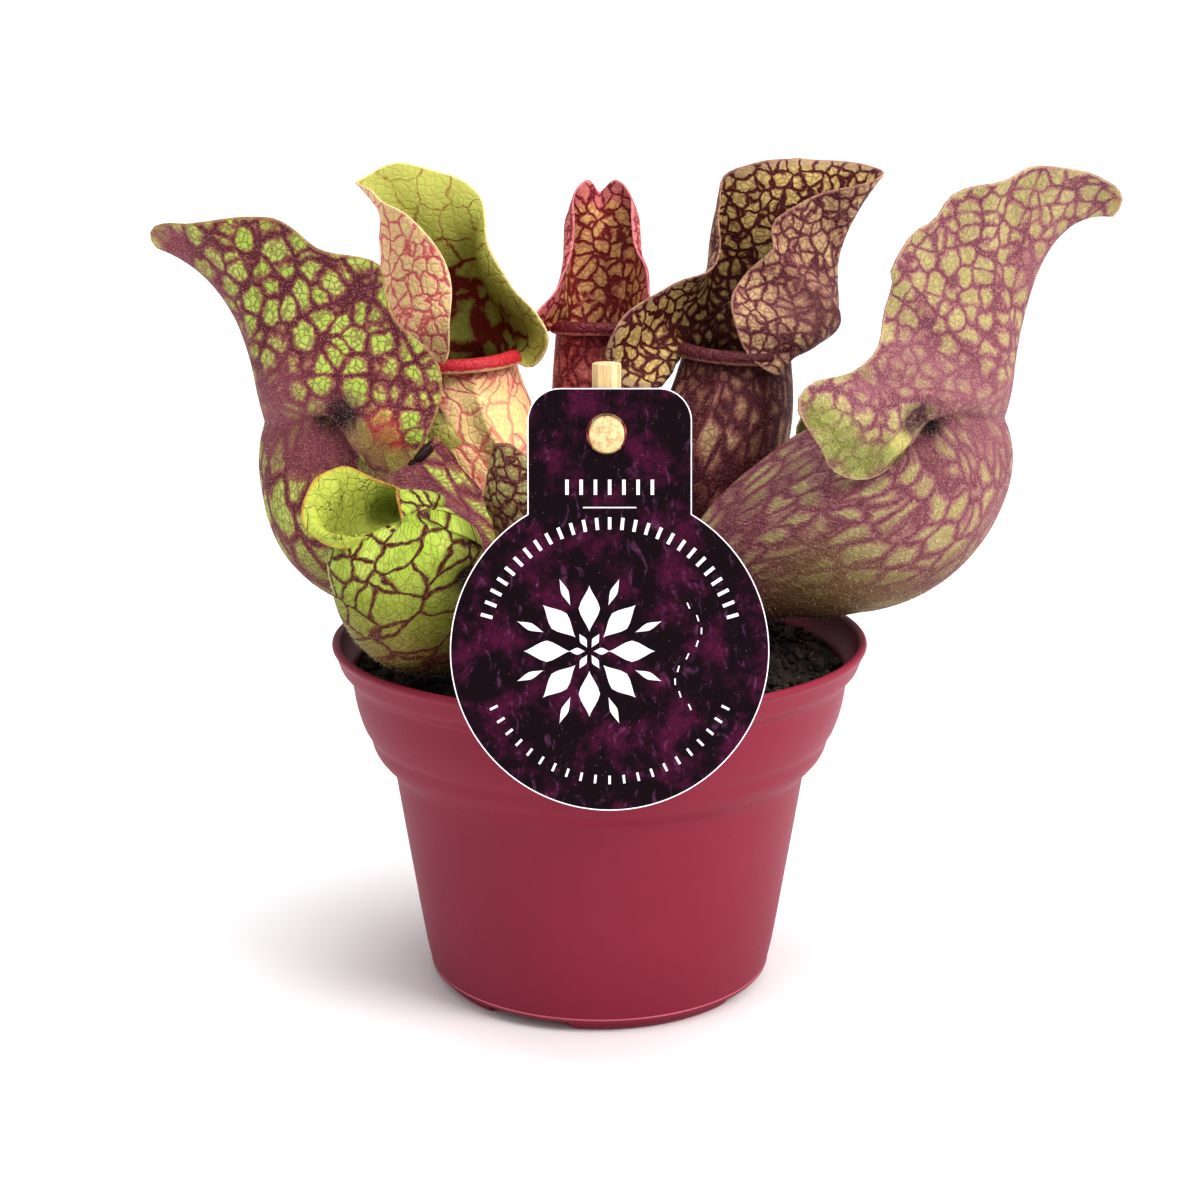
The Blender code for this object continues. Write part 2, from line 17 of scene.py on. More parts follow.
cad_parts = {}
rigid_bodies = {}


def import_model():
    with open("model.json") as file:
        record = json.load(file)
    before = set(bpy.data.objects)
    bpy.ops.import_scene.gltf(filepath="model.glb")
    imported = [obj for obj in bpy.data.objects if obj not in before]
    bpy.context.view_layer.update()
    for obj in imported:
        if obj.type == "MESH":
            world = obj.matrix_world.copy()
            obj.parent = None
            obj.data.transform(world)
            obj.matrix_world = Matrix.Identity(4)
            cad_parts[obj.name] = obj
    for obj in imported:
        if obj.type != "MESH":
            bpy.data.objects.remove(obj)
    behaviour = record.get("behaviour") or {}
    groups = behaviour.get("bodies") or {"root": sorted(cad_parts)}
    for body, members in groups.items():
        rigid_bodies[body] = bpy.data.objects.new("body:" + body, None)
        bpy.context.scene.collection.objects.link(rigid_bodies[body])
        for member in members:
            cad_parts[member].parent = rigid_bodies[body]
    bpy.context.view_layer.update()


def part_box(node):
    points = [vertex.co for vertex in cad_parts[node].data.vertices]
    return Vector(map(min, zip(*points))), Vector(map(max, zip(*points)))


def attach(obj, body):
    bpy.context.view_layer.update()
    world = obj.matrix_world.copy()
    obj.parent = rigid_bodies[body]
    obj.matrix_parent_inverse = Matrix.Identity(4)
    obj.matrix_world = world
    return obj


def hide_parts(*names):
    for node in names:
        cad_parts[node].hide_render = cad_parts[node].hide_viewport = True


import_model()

bl_info = {
    "name": "Potted Pitcher Plant",
    "version": (1, 0, 0),
    "blender": (4, 5, 0),
    "location": "View3D > Sidebar > Pitcher Plant",
    "description": "Builds a purple pitcher plant with its pot, peat and card tag around the packed frame",
    "category": "Add Mesh",
}

MM = 0.001
POT_LOW, POT_HIGH = (np.array(corner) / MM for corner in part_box("pot"))
STAKE_LOW, STAKE_HIGH = (np.array(corner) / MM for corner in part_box("tag_stake"))
PEG_LOW, PEG_HIGH = (np.array(corner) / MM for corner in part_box("tag_peg"))
AXIS = np.array([(POT_LOW[0] + POT_HIGH[0]) / 2, (POT_LOW[1] + POT_HIGH[1]) / 2, 0])
RIM_RADIUS = (POT_HIGH[0] - POT_LOW[0]) / 2
POT_HEIGHT = POT_HIGH[2]
CROWN_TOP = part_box("rhizome")[1][2] / MM
GAP = 0.3
FOOT_LEVEL = CROWN_TOP + GAP

FOOT_HEIGHT = 2.4
FOOT_INNER, FOOT_OUTER = 33.4, 37.6
FOOT_START, FOOT_SPAN = -100, 62  # degrees; each quarter of the ring has one foot
SEAM = 3.5
DRAIN_HOLES, DRAIN_RADIUS, DRAIN_CIRCLE = 6, 4, 24
SOIL_FLOOR, SOIL_LEVEL, SOIL_RISE = 4.3, 74.0, 1.2
CROWN_RADIUS, CROWN_HEIGHT, CROWN_FLATNESS = 25, 71.5, 0.15
CARD = dict(thickness=0.6, disc=31.5, disc_centre=13.1, top=64.9, neck=16.2, corner=6.5, x=2.0,
            hole_height=55.9, hole=4.0, stake_x=1.4, edge=0.25, foot=78.6)
CAMERA_AT, CAMERA_PITCH, CAMERA_LENS = (0.1, -450, 200.1), 0.2454, 61.9
# Name, place, diameter (m), power (W) and colour of each lamp; every lamp points at LAMP_TARGET.
LAMPS = (
    ("key", (0.7, -0.55, 0.75), 0.5, 8.0, (1.0, 0.98, 0.96)),
    ("fill", (-0.8, -0.6, 0.6), 0.8, 1.5, (0.96, 0.98, 1.0)),
    ("top", (0.0, 0.0, 1.1), 0.7, 6.0, (1.0, 1.0, 1.0)),
)
LAMP_TARGET = Vector((0, 0, 0.1))
# The world lights most from the right and a little from above; the camera sees it white.
SKY_TILT, SKY_STRENGTH = (0.35, 0, 0.09), 0.76
VIEW_GAMMA, VIEW_EXPOSURE = 0.82, 0.1

HOOD_COLUMNS, LIP_COLUMNS = 56, 16
TUBE_ROWS, HOOD_ROWS, RIM_ROWS = 60, 60, 4

LEAVES = {
    "pitcher_left": dict(
        azimuth=174, dimple=104, wing=3, lip=1.6, wave=0.7,
        spine=[(15, FOOT_LEVEL, 0), (22, 86, 0), (33, 95, 0), (44, 101, 0), (53.5, 108, 0),
               (58.5, 118, 0), (60, 129, 0)],
        width=[3.5, 7, 12, 16, 18, 17, 14.5], depth=[3.5, 8, 14, 19, 21, 18.5, 15],
        margin=[(99, 166.5, 0), (98, 169, 3), (91, 170, 6.5), (83, 171.5, 9), (70, 172, 12),
                (65, 170, 13), (58, 166, 14), (46, 163, 16), (44, 158, 17), (41, 151, 18),
                (33, 144, 20), (32, 134, 20.5), (35, 126, 21), (42, 119.5, 20.5), (48, 120, 18),
                (54, 129, 15)],
        far_margin=[(99, 166.5, 0), (97, 164, -3.5), (87, 165, -9), (75, 166, -12), (64, 160, -14),
            (54, 155, -15), (51, 149, -16), (47, 141, -17), (42, 133, -18), (37.5, 125, -19),
            (33.5, 118, -19), (34, 112, -18.5), (40, 111, -18), (47, 117, -17), (53, 127, -15)],
        roll=[0.45, 0.3, 0.1, 0.0, 0.2], dents=[(54, 131, 19, 4.5, -3.5), (42, 131, 20, 8, 2.5)],
        spots=dict(
            purple=[(68, 130, 12, 12), (58, 127, 16, 10), (90, 153, 0, 9), (82, 145, 0, 8),
                    (94, 167, 0, 7), (77, 128, 0, 8), (46, 113, 10, 10), (34, 106, 10, 9)],
            red=[(43.6, 128.8, 22.8, 5), (42, 126.5, 22.3, 4)],
            tan=[(49.2, 126.4, 20.5, 4.6), (45, 123.6, 20.7, 4.4), (40.5, 121.6, 20.9, 4.6)],
            pale=[(37, 118, -19, 8), (99.5, 166, 0, 3)],
            # Painted shade in the pit of the dimple.
            dark=[(53.6, 131, 19.5, 5), (57, 130.5, 15.5, 4)],
        ),
    ),
    "pitcher_right": dict(
        azimuth=6, dimple=104, wing=2, lip=1.6, wave=1.1,
        spine=[(15, FOOT_LEVEL, 0), (23, 86, 0), (36, 96, 0), (51, 102.5, 0), (64.5, 108, 0),
               (73, 118, 0), (75, 130, 0)],
        width=[3.5, 8, 14, 19, 21, 19, 15], depth=[3.5, 9, 15.5, 20.5, 22, 20.5, 16],
        margin=[(115.5, 175.5, 0), (113.5, 172, 4), (98, 174, 11), (83, 171, 14), (76, 164, 15),
                (71, 155, 15), (69, 147, 15), (65, 139, 16), (57, 132, 16.5), (49, 126, 17),
                (48, 120, 17), (57, 118, 17), (64, 122, 16.5), (70, 129, 15)],
        far_margin=[(115.5, 175.5, 0), (112.5, 179, -3), (104, 181.5, -7), (94, 182, -9), (83, 180, -12),
            (75, 177, -14), (70, 172, -15), (65, 169, -15), (60, 162, -16), (61, 157, -16),
            (58, 147, -18), (52, 141, -20), (43, 139, -22), (39.5, 134, -24), (43, 126, -24),
            (48, 120, -23), (56, 118, -21), (64, 123, -18), (69, 130, -15)],
        roll=[0.75, 0.3, 0.1, 0.0, 0.2], dents=[(66.5, 130.5, -21.5, 4.2, -4), (48, 131, -23, 8, 3)],
        spots=dict(
            purple=[(84, 130, -10, 12), (74, 136, -15, 11), (98, 160, 0, 8), (66, 142, -18, 8),
                    (88, 108, -8, 9), (56, 139, -20, 6)],
            green=[(48, 127.4, -26.7, 6), (44, 131.5, -25.5, 5), (53.6, 122.2, -21.7, 6.5),
                (60.3, 123.6, -20.5, 4)],
            olive=[(48, 94, -14, 14), (62, 84, -12, 12)],
            # Painted shade in the pit of the dimple.
            dark=[(66.3, 130, -21.8, 4.6), (70, 129, -16, 4)],
            pale=[(62.8, 125.6, -20.8, 3.4)],
            tan=[(116, 175, 0, 3)],
        ),
    ),
    "pitcher_back_left": dict(
        azimuth=104, dimple=116, wing=4, lip=1.7, tilt=0.35, wave=0.7,
        spine=[(17, FOOT_LEVEL, 5), (24, 86, 8), (32, 98, 13), (40, 111, 18), (45, 124, 21),
               (48, 137, 22)],
        width=[3.5, 7, 11.5, 15, 15, 12.5], depth=[3.5, 8, 12.5, 15.5, 15, 13],
        margin=[(60, 178, 44), (48, 174, 42), (40, 171, 36), (35, 164, 30), (32, 156, 27.5),
                (31, 147, 27.5), (32, 138, 29), (38, 136, 33)],
        far_margin=[(60, 178, 44), (62, 181, 36), (61, 180, 27), (59, 178, 20), (56, 174, 15.5),
            (52, 168, 14.5), (47, 161, 14.5), (42, 154, 11), (36, 148, 6), (32, 142, 4), (34, 136, 8),
            (39, 137, 12)],
        roll=[0.4, -0.35, -0.45, -0.3, 0.1], far_roll=[0.4, 0.4, 0.5, 0.5, 0.2],
        bulge=[0, 1, 4, 5, 3, 0],
        spots=dict(lime=[(30, 126, 17, 10), (22, 116, 17, 9), (30, 112, 16, 9)]),
    ),
    "pitcher_centre_back": dict(
        azimuth=90, dimple=112, wing=3, lip=1.5, tilt=0.2, wave=0.35,
        spine=[(22, FOOT_LEVEL, 0), (28, 86, 0), (35, 98, 0), (41, 112, 0), (46, 127, 0), (49, 143, 0)],
        width=[3.5, 5.5, 8.5, 11, 11.5, 10.5], depth=[3.5, 6, 9, 12, 12, 11],
        margin=[(67, 174, 0), (64, 177, 3), (60, 174, 6.8), (56, 168, 6.4), (52, 162, 6.6), (49, 157, 8),
            (42, 152, 11.5), (37, 147, 15), (38, 142, 15), (43, 143, 12)],
        far_margin=[(67, 174, 0), (64, 177, -4), (60, 174, -8), (56, 168, -8), (52, 162, -8.6),
                    (49, 157, -11), (44, 151, -12.5), (40, 145, -14.5), (41, 140, -14),
                    (45, 142, -11.2)],
        roll=[0.3, -0.6, -0.7, -0.5, 0.1], bulge=[0, -1, -3, -3.5, -1.5, 0],
        far_bulge=[0, -1, -3, -3.5, -1.5, 0], spots=dict(purple=[(40, 112, 0, 12)]),
    ),
    "pitcher_back_right": dict(
        azimuth=74, dimple=118, wing=4, lip=1.6, tilt=0.3, wave=0.8,
        spine=[(17, FOOT_LEVEL, -5), (23, 86, -8), (30, 98, -13), (37, 112, -17), (42, 125, -20),
            (45, 139, -21)],
        width=[3.5, 7, 12, 15.5, 15, 12.5], depth=[3.5, 8, 12.5, 16, 15, 13],
        margin=[(62, 183, -31), (60, 181.5, -21), (57, 178.5, -14), (53, 171, -14.5), (49, 164, -15.5),
            (44, 158, -13), (39, 154, -7), (33, 151, -1), (27, 147, 3.5), (25, 140, 5.5), (27, 133, 3),
            (30, 131, -4), (36, 137, -9)],
        far_margin=[(62, 183, -31), (66, 181, -46), (58, 179, -52), (50, 175, -40), (45, 170, -30),
            (43, 166, -29), (41, 163, -30), (38, 157, -24), (33, 151, -22), (30, 143, -25),
            (30, 136, -33), (36, 136, -34)],
        roll=[0.3, -0.5, -0.4, 0.2, 0.3], far_roll=[0.3, 0.2, -0.1, -0.3, 0.1],
        far_bulge=[0, 3, 8, 9, 5, 0], spots=dict(purple=[(45, 150, -38, 9)], green=[(26, 139, 4, 6)]),
    ),
    "pitcher_front_small": dict(
        azimuth=208, dimple=146, far_dimple=158, twist=-48, wing=1.5, lip=0.5, wave=0.35,
        spine=[(20, FOOT_LEVEL, 2), (28, 84, 5), (38, 89, 7), (47, 94, 7.5), (53, 99, 7), (56.5, 104, 5),
            (57.5, 108, 3.5)],
        width=[3.5, 7.5, 12, 14.5, 13, 9.5, 7], depth=[3.5, 7.5, 12.5, 15, 13.5, 10, 7.5],
        margin=[(62, 121, -5), (66, 119.5, -3), (69.5, 115, 0), (69.5, 111, 3), (66, 108, 7),
                (61, 107.5, 10), (57, 109, 11)],
        far_margin=[(62, 121, -5), (57, 121, -8), (52, 119, -7), (49, 117.5, -2), (49.5, 117.5, 4),
            (52, 118.5, 8.5), (53.5, 113.5, 11), (55, 110.5, 11)],
        roll=[0.5, 0.2, 0.1, 0.0, 0.2], far_bulge=[0, 0, 3, 10, 13, 9, 2],
        dents=[(46, 107, 15, 9, 8), (43, 103, 24, 4, -4)],
        spots=dict(
            purple=[(42, 101, 20, 8), (32, 82, 10, 14), (46, 84, 8, 12), (38, 80, 14, 10)],
            # Painted shade in the pit beside the hood.
            dark=[(43, 102, 21, 4)],
        ),
    ),
    "pitcher_young": dict(
        azimuth=225, dimple=110, wing=1.5, lip=0.8, wave=0.2,
        spine=[(19, FOOT_LEVEL, 9), (22, 84, 9.5), (25, 93, 8.5), (28, 103, 6), (29.5, 112, 3.5)],
        width=[2.6, 4.5, 6, 5.5, 4.5], depth=[2.6, 4.5, 6, 5.5, 4.5],
        margin=[(33, 127, 2), (31, 127, 5), (28, 124, 7), (26, 119, 8.5), (26, 114, 8.5), (28, 113, 8)],
        far_margin=[(33, 127, 2), (31, 127, -1), (28, 124, -2), (26, 119, -3), (26, 114, -2),
                    (28, 113, -1)],
        roll=[0.3, -0.2, -0.2, -0.2, 0.1], spots={},
    ),
}

# Colours of each leaf, as a painter would read them off it: red, green, blue from 0 to 255. A leaf's base
# is not a pigment: it is painted shade, laid over the leaf's lower part.
LEAF_COLOURS = {
    "pitcher_left": dict(
        cell=(172, 196, 84), pale=(206, 208, 124), dim=(156, 118, 76), halo=(138, 68, 72),
        vein=(100, 34, 48), fine=(116, 74, 56), flush=(140, 74, 88), rim=(168, 136, 92),
        base=(104, 44, 38), lip=(36, 8, 14), inner=(140, 150, 66), inner_dim=(110, 100, 50),
        inner_vein=(90, 30, 40), net=4.5, tube_net=4.4, tall=2.4, fine_net=1.4, width=0.95, cover=0.8,
        fuzz=0.24, stripes=0.3,
    ),
    "pitcher_right": dict(
        cell=(174, 172, 104), pale=(198, 190, 136), dim=(162, 126, 108), halo=(152, 98, 100),
        vein=(116, 58, 72), fine=(138, 104, 92), flush=(146, 94, 104), rim=(188, 158, 130),
        base=(84, 50, 14), lip=(30, 6, 12), inner=(120, 118, 50), inner_dim=(100, 84, 40),
        inner_vein=(90, 50, 40), net=3.9, tube_net=3.1, tall=2.2, fine_net=1.3, width=0.78, mouth=0.15,
        cover=0.62, veil=0.36, lines=0.35, fuzz=0.24, stripes=0.55,
    ),
    "pitcher_back_left": dict(
        cell=(250, 222, 160), pale=(248, 232, 164), dim=(252, 204, 172), halo=(240, 164, 148),
        vein=(216, 104, 104), fine=(238, 172, 150), flush=(250, 192, 170), rim=(240, 214, 170),
        base=(220, 150, 110), lip=(184, 48, 58), inner=(192, 194, 100), inner_dim=(172, 150, 72),
        inner_vein=(140, 30, 28), net=3.6, tube_net=4.6, tall=2.4, fine_net=1.6, width=0.62, mouth=0.0,
        cover=0.3, veil=0.1, rounding=0, inner_net=6.5, inner_width=0.75, inner_mouth=1.0, fade=0.6,
        fuzz=0.1, inner_lines=0.12,
    ),
    "pitcher_centre_back": dict(
        cell=(216, 132, 124), pale=(226, 142, 136), dim=(210, 104, 112), halo=(170, 72, 84),
        vein=(120, 26, 42), fine=(152, 70, 74), flush=(176, 88, 96), rim=(214, 132, 140),
        base=(104, 44, 38), lip=(104, 26, 36), inner=(232, 184, 124), inner_dim=(192, 112, 86),
        inner_vein=(134, 30, 36), net=3.2, tube_net=3.2, tall=1.8, fine_net=1.5, width=0.6, mouth=0.4,
        cover=0.2, rounding=0, band=5.4, stripes=0.35, inner_width=0.5,
    ),
    "pitcher_back_right": dict(
        cell=(186, 156, 118), pale=(208, 186, 138), dim=(160, 112, 94), halo=(118, 60, 66),
        vein=(84, 24, 38), fine=(130, 78, 72), flush=(150, 96, 98), rim=(170, 128, 110),
        base=(84, 36, 28), lip=(92, 34, 42), inner=(224, 196, 130), inner_dim=(172, 122, 84),
        inner_vein=(88, 22, 24), net=3.0, tube_net=3.0, tall=3.2, fine_net=1.4, width=0.62, mouth=0.8,
        cover=0.35, veil=0.1, rounding=0.1, band=2.8, stripes=0.6, inner_width=0.54,
    ),
    "pitcher_front_small": dict(
        cell=(164, 188, 66), pale=(206, 216, 116), dim=(122, 118, 48), halo=(110, 64, 30),
        vein=(72, 18, 20), fine=(104, 82, 40), flush=(96, 46, 34), rim=(190, 134, 62),
        base=(90, 30, 14), lip=(150, 98, 44), inner=(196, 206, 92), inner_dim=(178, 184, 76),
        inner_vein=(122, 104, 48), net=4.2, tube_net=4.2, tall=1.6, fine_net=1.9, width=0.6, cover=0.3,
        rounding=0, lines=0.35, inner_width=0.06,
    ),
    "pitcher_young": dict(
        cell=(186, 184, 120), pale=(186, 180, 126), dim=(162, 130, 92), halo=(126, 72, 62),
        vein=(86, 30, 36), fine=(140, 94, 72), flush=(150, 90, 80), rim=(176, 130, 100),
        base=(70, 40, 26), lip=(140, 60, 60), inner=(150, 154, 80), inner_dim=(120, 110, 60),
        inner_vein=(100, 44, 40), net=2.6, tube_net=2.6, tall=2.2, fine_net=1.2, width=0.6, cover=0.2,
        rounding=0,
    ),
}
# Colour and strength of a leaf's spots, in the order in which they are laid over each other. The dark spots
# are painted shade in the leaves' dimples and pits.
SPOT_COLOURS = {
    "olive": ((132, 120, 62), 0.4), "green": ((136, 152, 60), 0.7), "red": ((196, 56, 70), 0.7),
    "lime": ((226, 216, 138), 0.32), "tan": ((158, 124, 78), 0.85), "pale": ((206, 200, 120), 0.8),
    "dark": ((22, 5, 8), 0.94),
}
UNDER_LIGHT = 0.95  # Share of a colour above, which is as seen in the light, that the pigment has
# Colour of the leaf's pale hairs; in the fuzz specks it also stands for a painted highlight on them.
HAIR_COLOUR = (238, 224, 206)


def linear(colour):
    """A colour of 0 to 255 as the shader's linear red, green, blue and alpha."""
    shares = [part / 255 for part in colour]
    return (*[s / 12.92 if s <= 0.04045 else ((s + 0.055) / 1.055) ** 2.4 for s in shares], 1)


def pigment(colour):
    """The base colour that shows as the given colour under the stage's light."""
    return (*[part * UNDER_LIGHT for part in linear(colour)[:3]], 1)


# ---------------------------------------------------------------- Sizes and colours a user would change

class PlantSizes(bpy.types.PropertyGroup):
    """Sizes of the pieces that a user would change"""
    leaf_wall: FloatProperty(name="Leaf Wall", description="Thickness of a leaf's wall", default=1.0 * MM,
                             min=0.3 * MM, unit="LENGTH")
    hair_length: FloatProperty(name="Hair Length", description="Length of the longest hairs on a leaf",
                               default=0.9 * MM, min=0.1 * MM, unit="LENGTH")
    hair_count: IntProperty(name="Hairs", description="Hairs on a large leaf", default=6000, min=0)
    crumb_count: IntProperty(name="Peat Crumbs", description="Crumbs on the peat", default=1500, min=0)
    fibre_count: IntProperty(name="Peat Fibres", description="Fibres on the peat", default=170, min=0)


class PlantColours(bpy.types.PropertyGroup):
    """Colours of the pot, the peat, the wood and the tag"""
    pot: FloatVectorProperty(name="Pot", description="Colour of the pot's plastic", subtype="COLOR",
                             default=linear((132, 37, 60))[:3], min=0, max=1)
    peat: FloatVectorProperty(name="Peat", description="Colour of the damp peat", subtype="COLOR",
                              default=linear((40, 28, 21))[:3], min=0, max=1)
    wood: FloatVectorProperty(name="Wood", description="Colour of the stake and peg", subtype="COLOR",
                              default=linear((226, 200, 152))[:3], min=0, max=1)
    card: FloatVectorProperty(name="Card", description="Ground colour of the tag's print", subtype="COLOR",
                              default=linear((22, 6, 16))[:3], min=0, max=1)
    print_white: FloatVectorProperty(name="Print", description="Colour of the tag's white print",
                                     subtype="COLOR", default=linear((238, 232, 234))[:3], min=0, max=1)


# ---------------------------------------------------------------- Materials

def math_methods(operation):
    """The methods that add a Math node for "flow + value" and, reflected, for "value + flow"."""
    def plain(flow, other):
        return flow.nodes.node("ShaderNodeMath", {"operation": operation}, {0: flow, 1: other})

    def reflected(flow, other):
        return flow.nodes.node("ShaderNodeMath", {"operation": operation}, {0: other, 1: flow})
    return plain, reflected


class Flow:
    """One output of a node, in sums that add Math nodes."""
    __add__, __radd__ = math_methods("ADD")
    __sub__, __rsub__ = math_methods("SUBTRACT")
    __mul__, __rmul__ = math_methods("MULTIPLY")
    __truediv__, __rtruediv__ = math_methods("DIVIDE")
    __pow__, __rpow__ = math_methods("POWER")

    def __init__(self, nodes, socket):
        self.nodes, self.socket = nodes, socket


class Nodes:
    """A node tree under construction."""

    def __init__(self, tree):
        self.tree = tree

    def node(self, kind, settings=None, inputs=None, output=0):
        """Adds a node: its settings first, then the values or links of its sockets."""
        made = self.tree.nodes.new(kind)
        for key, value in (settings or {}).items():
            if key == "stops":
                ramp = made.color_ramp.elements
                while len(ramp) < len(value):
                    ramp.new(1)
                for stop, (place, colour) in zip(ramp, value):
                    stop.position, stop.color = place, colour
            else:
                setattr(made, key, value)
        for key, value in (inputs or {}).items():
            self.connect(made.inputs[key], value)
        return Flow(self, made.outputs[output])

    def connect(self, socket, value):
        if isinstance(value, Flow):
            self.tree.links.new(value.socket, socket)
        else:
            socket.default_value = value

    def mix(self, share, first, second, blend="MIX"):
        settings = {"data_type": "RGBA", "blend_type": blend, "clamp_factor": True}
        return self.node("ShaderNodeMix", settings, {0: share, 6: first, 7: second}, 2)

    def step(self, value, start, end):
        """0 up to start and 1 from end, and smooth between them."""
        values = {"Value": value, "From Min": start, "From Max": end}
        return self.node("ShaderNodeMapRange", {"interpolation_type": "SMOOTHSTEP"}, values)

    def noise(self, vector, scale, detail=2.0, output=0, roughness=0.5):
        values = {"Vector": vector, "Scale": scale, "Detail": detail, "Roughness": roughness}
        return self.node("ShaderNodeTexNoise", {}, values, output)

    def cells(self, vector, scale, feature="DISTANCE_TO_EDGE", output=0, randomness=1.0):
        values = {"Vector": vector, "Scale": scale, "Randomness": randomness}
        return self.node("ShaderNodeTexVoronoi", {"feature": feature}, values, output)

    def stretch(self, vector, factors, shift=(0, 0, 0)):
        values = {0: vector, 1: factors, 2: shift}
        return self.node("ShaderNodeVectorMath", {"operation": "MULTIPLY_ADD"}, values)

    def bent(self, vector, scale, amount):
        """The coordinates with a smooth wobble, so that nothing on them runs straight."""
        values = {0: self.noise(vector, scale, 2, output=1), 1: (0.5, 0.5, 0.5)}
        centred = self.node("ShaderNodeVectorMath", {"operation": "SUBTRACT"}, values)
        return self.stretch(centred, (amount,) * 3, vector)

    def own(self, name):
        return self.node("ShaderNodeAttribute", {"attribute_name": name}, output=2)

    def unwrapped(self, name):
        return self.node("ShaderNodeUVMap", {"uv_map": name})

    def place(self):
        return self.node("ShaderNodeTexCoord", output=3)

    def bump(self, height, depth, below=None, strength=1.0):
        values = {"Height": height, "Distance": depth * MM, "Strength": strength}
        if below:
            values["Normal"] = below
        return self.node("ShaderNodeBump", inputs=values)


class Finish(Nodes):
    """A material under construction."""

    def __init__(self, name):
        self.material = bpy.data.materials.new(name)
        self.material.use_nodes = True
        super().__init__(self.material.node_tree)
        self.shader = self.tree.nodes["Principled BSDF"]

    def feed(self, **values):
        """Sets the shader's own sockets: base_color=... sets Base Color."""
        for key, value in values.items():
            name = key.replace("_", " ").title().replace("Ior", "IOR")
            self.connect(self.shader.inputs[name], value)
        return self.material


def leaf_net(f, flat, size, wobble, rounding):
    """Distance in mm from the nearest vein of a net: on a flat map along the tube, in space on the hood."""
    flat = f.bent(f.bent(flat, 2.2, wobble), 7, wobble / 2.5)
    on_tube = f.cells(flat, 10 / size) * size * f.own("spread")
    round_size = size * 1.15
    solid = f.bent(f.bent(f.place(), 200, wobble * 0.016), 700, wobble * 0.005)
    on_hood = f.cells(solid, 1000 / round_size, randomness=0.85)
    if rounding:
        blob = 0.62 - f.cells(solid, 1000 / round_size, "F1", randomness=0.85)
        on_hood = on_hood * (1 - rounding) + blob * rounding * 0.85
    return on_tube + (on_hood * round_size - on_tube) * f.own("hood")


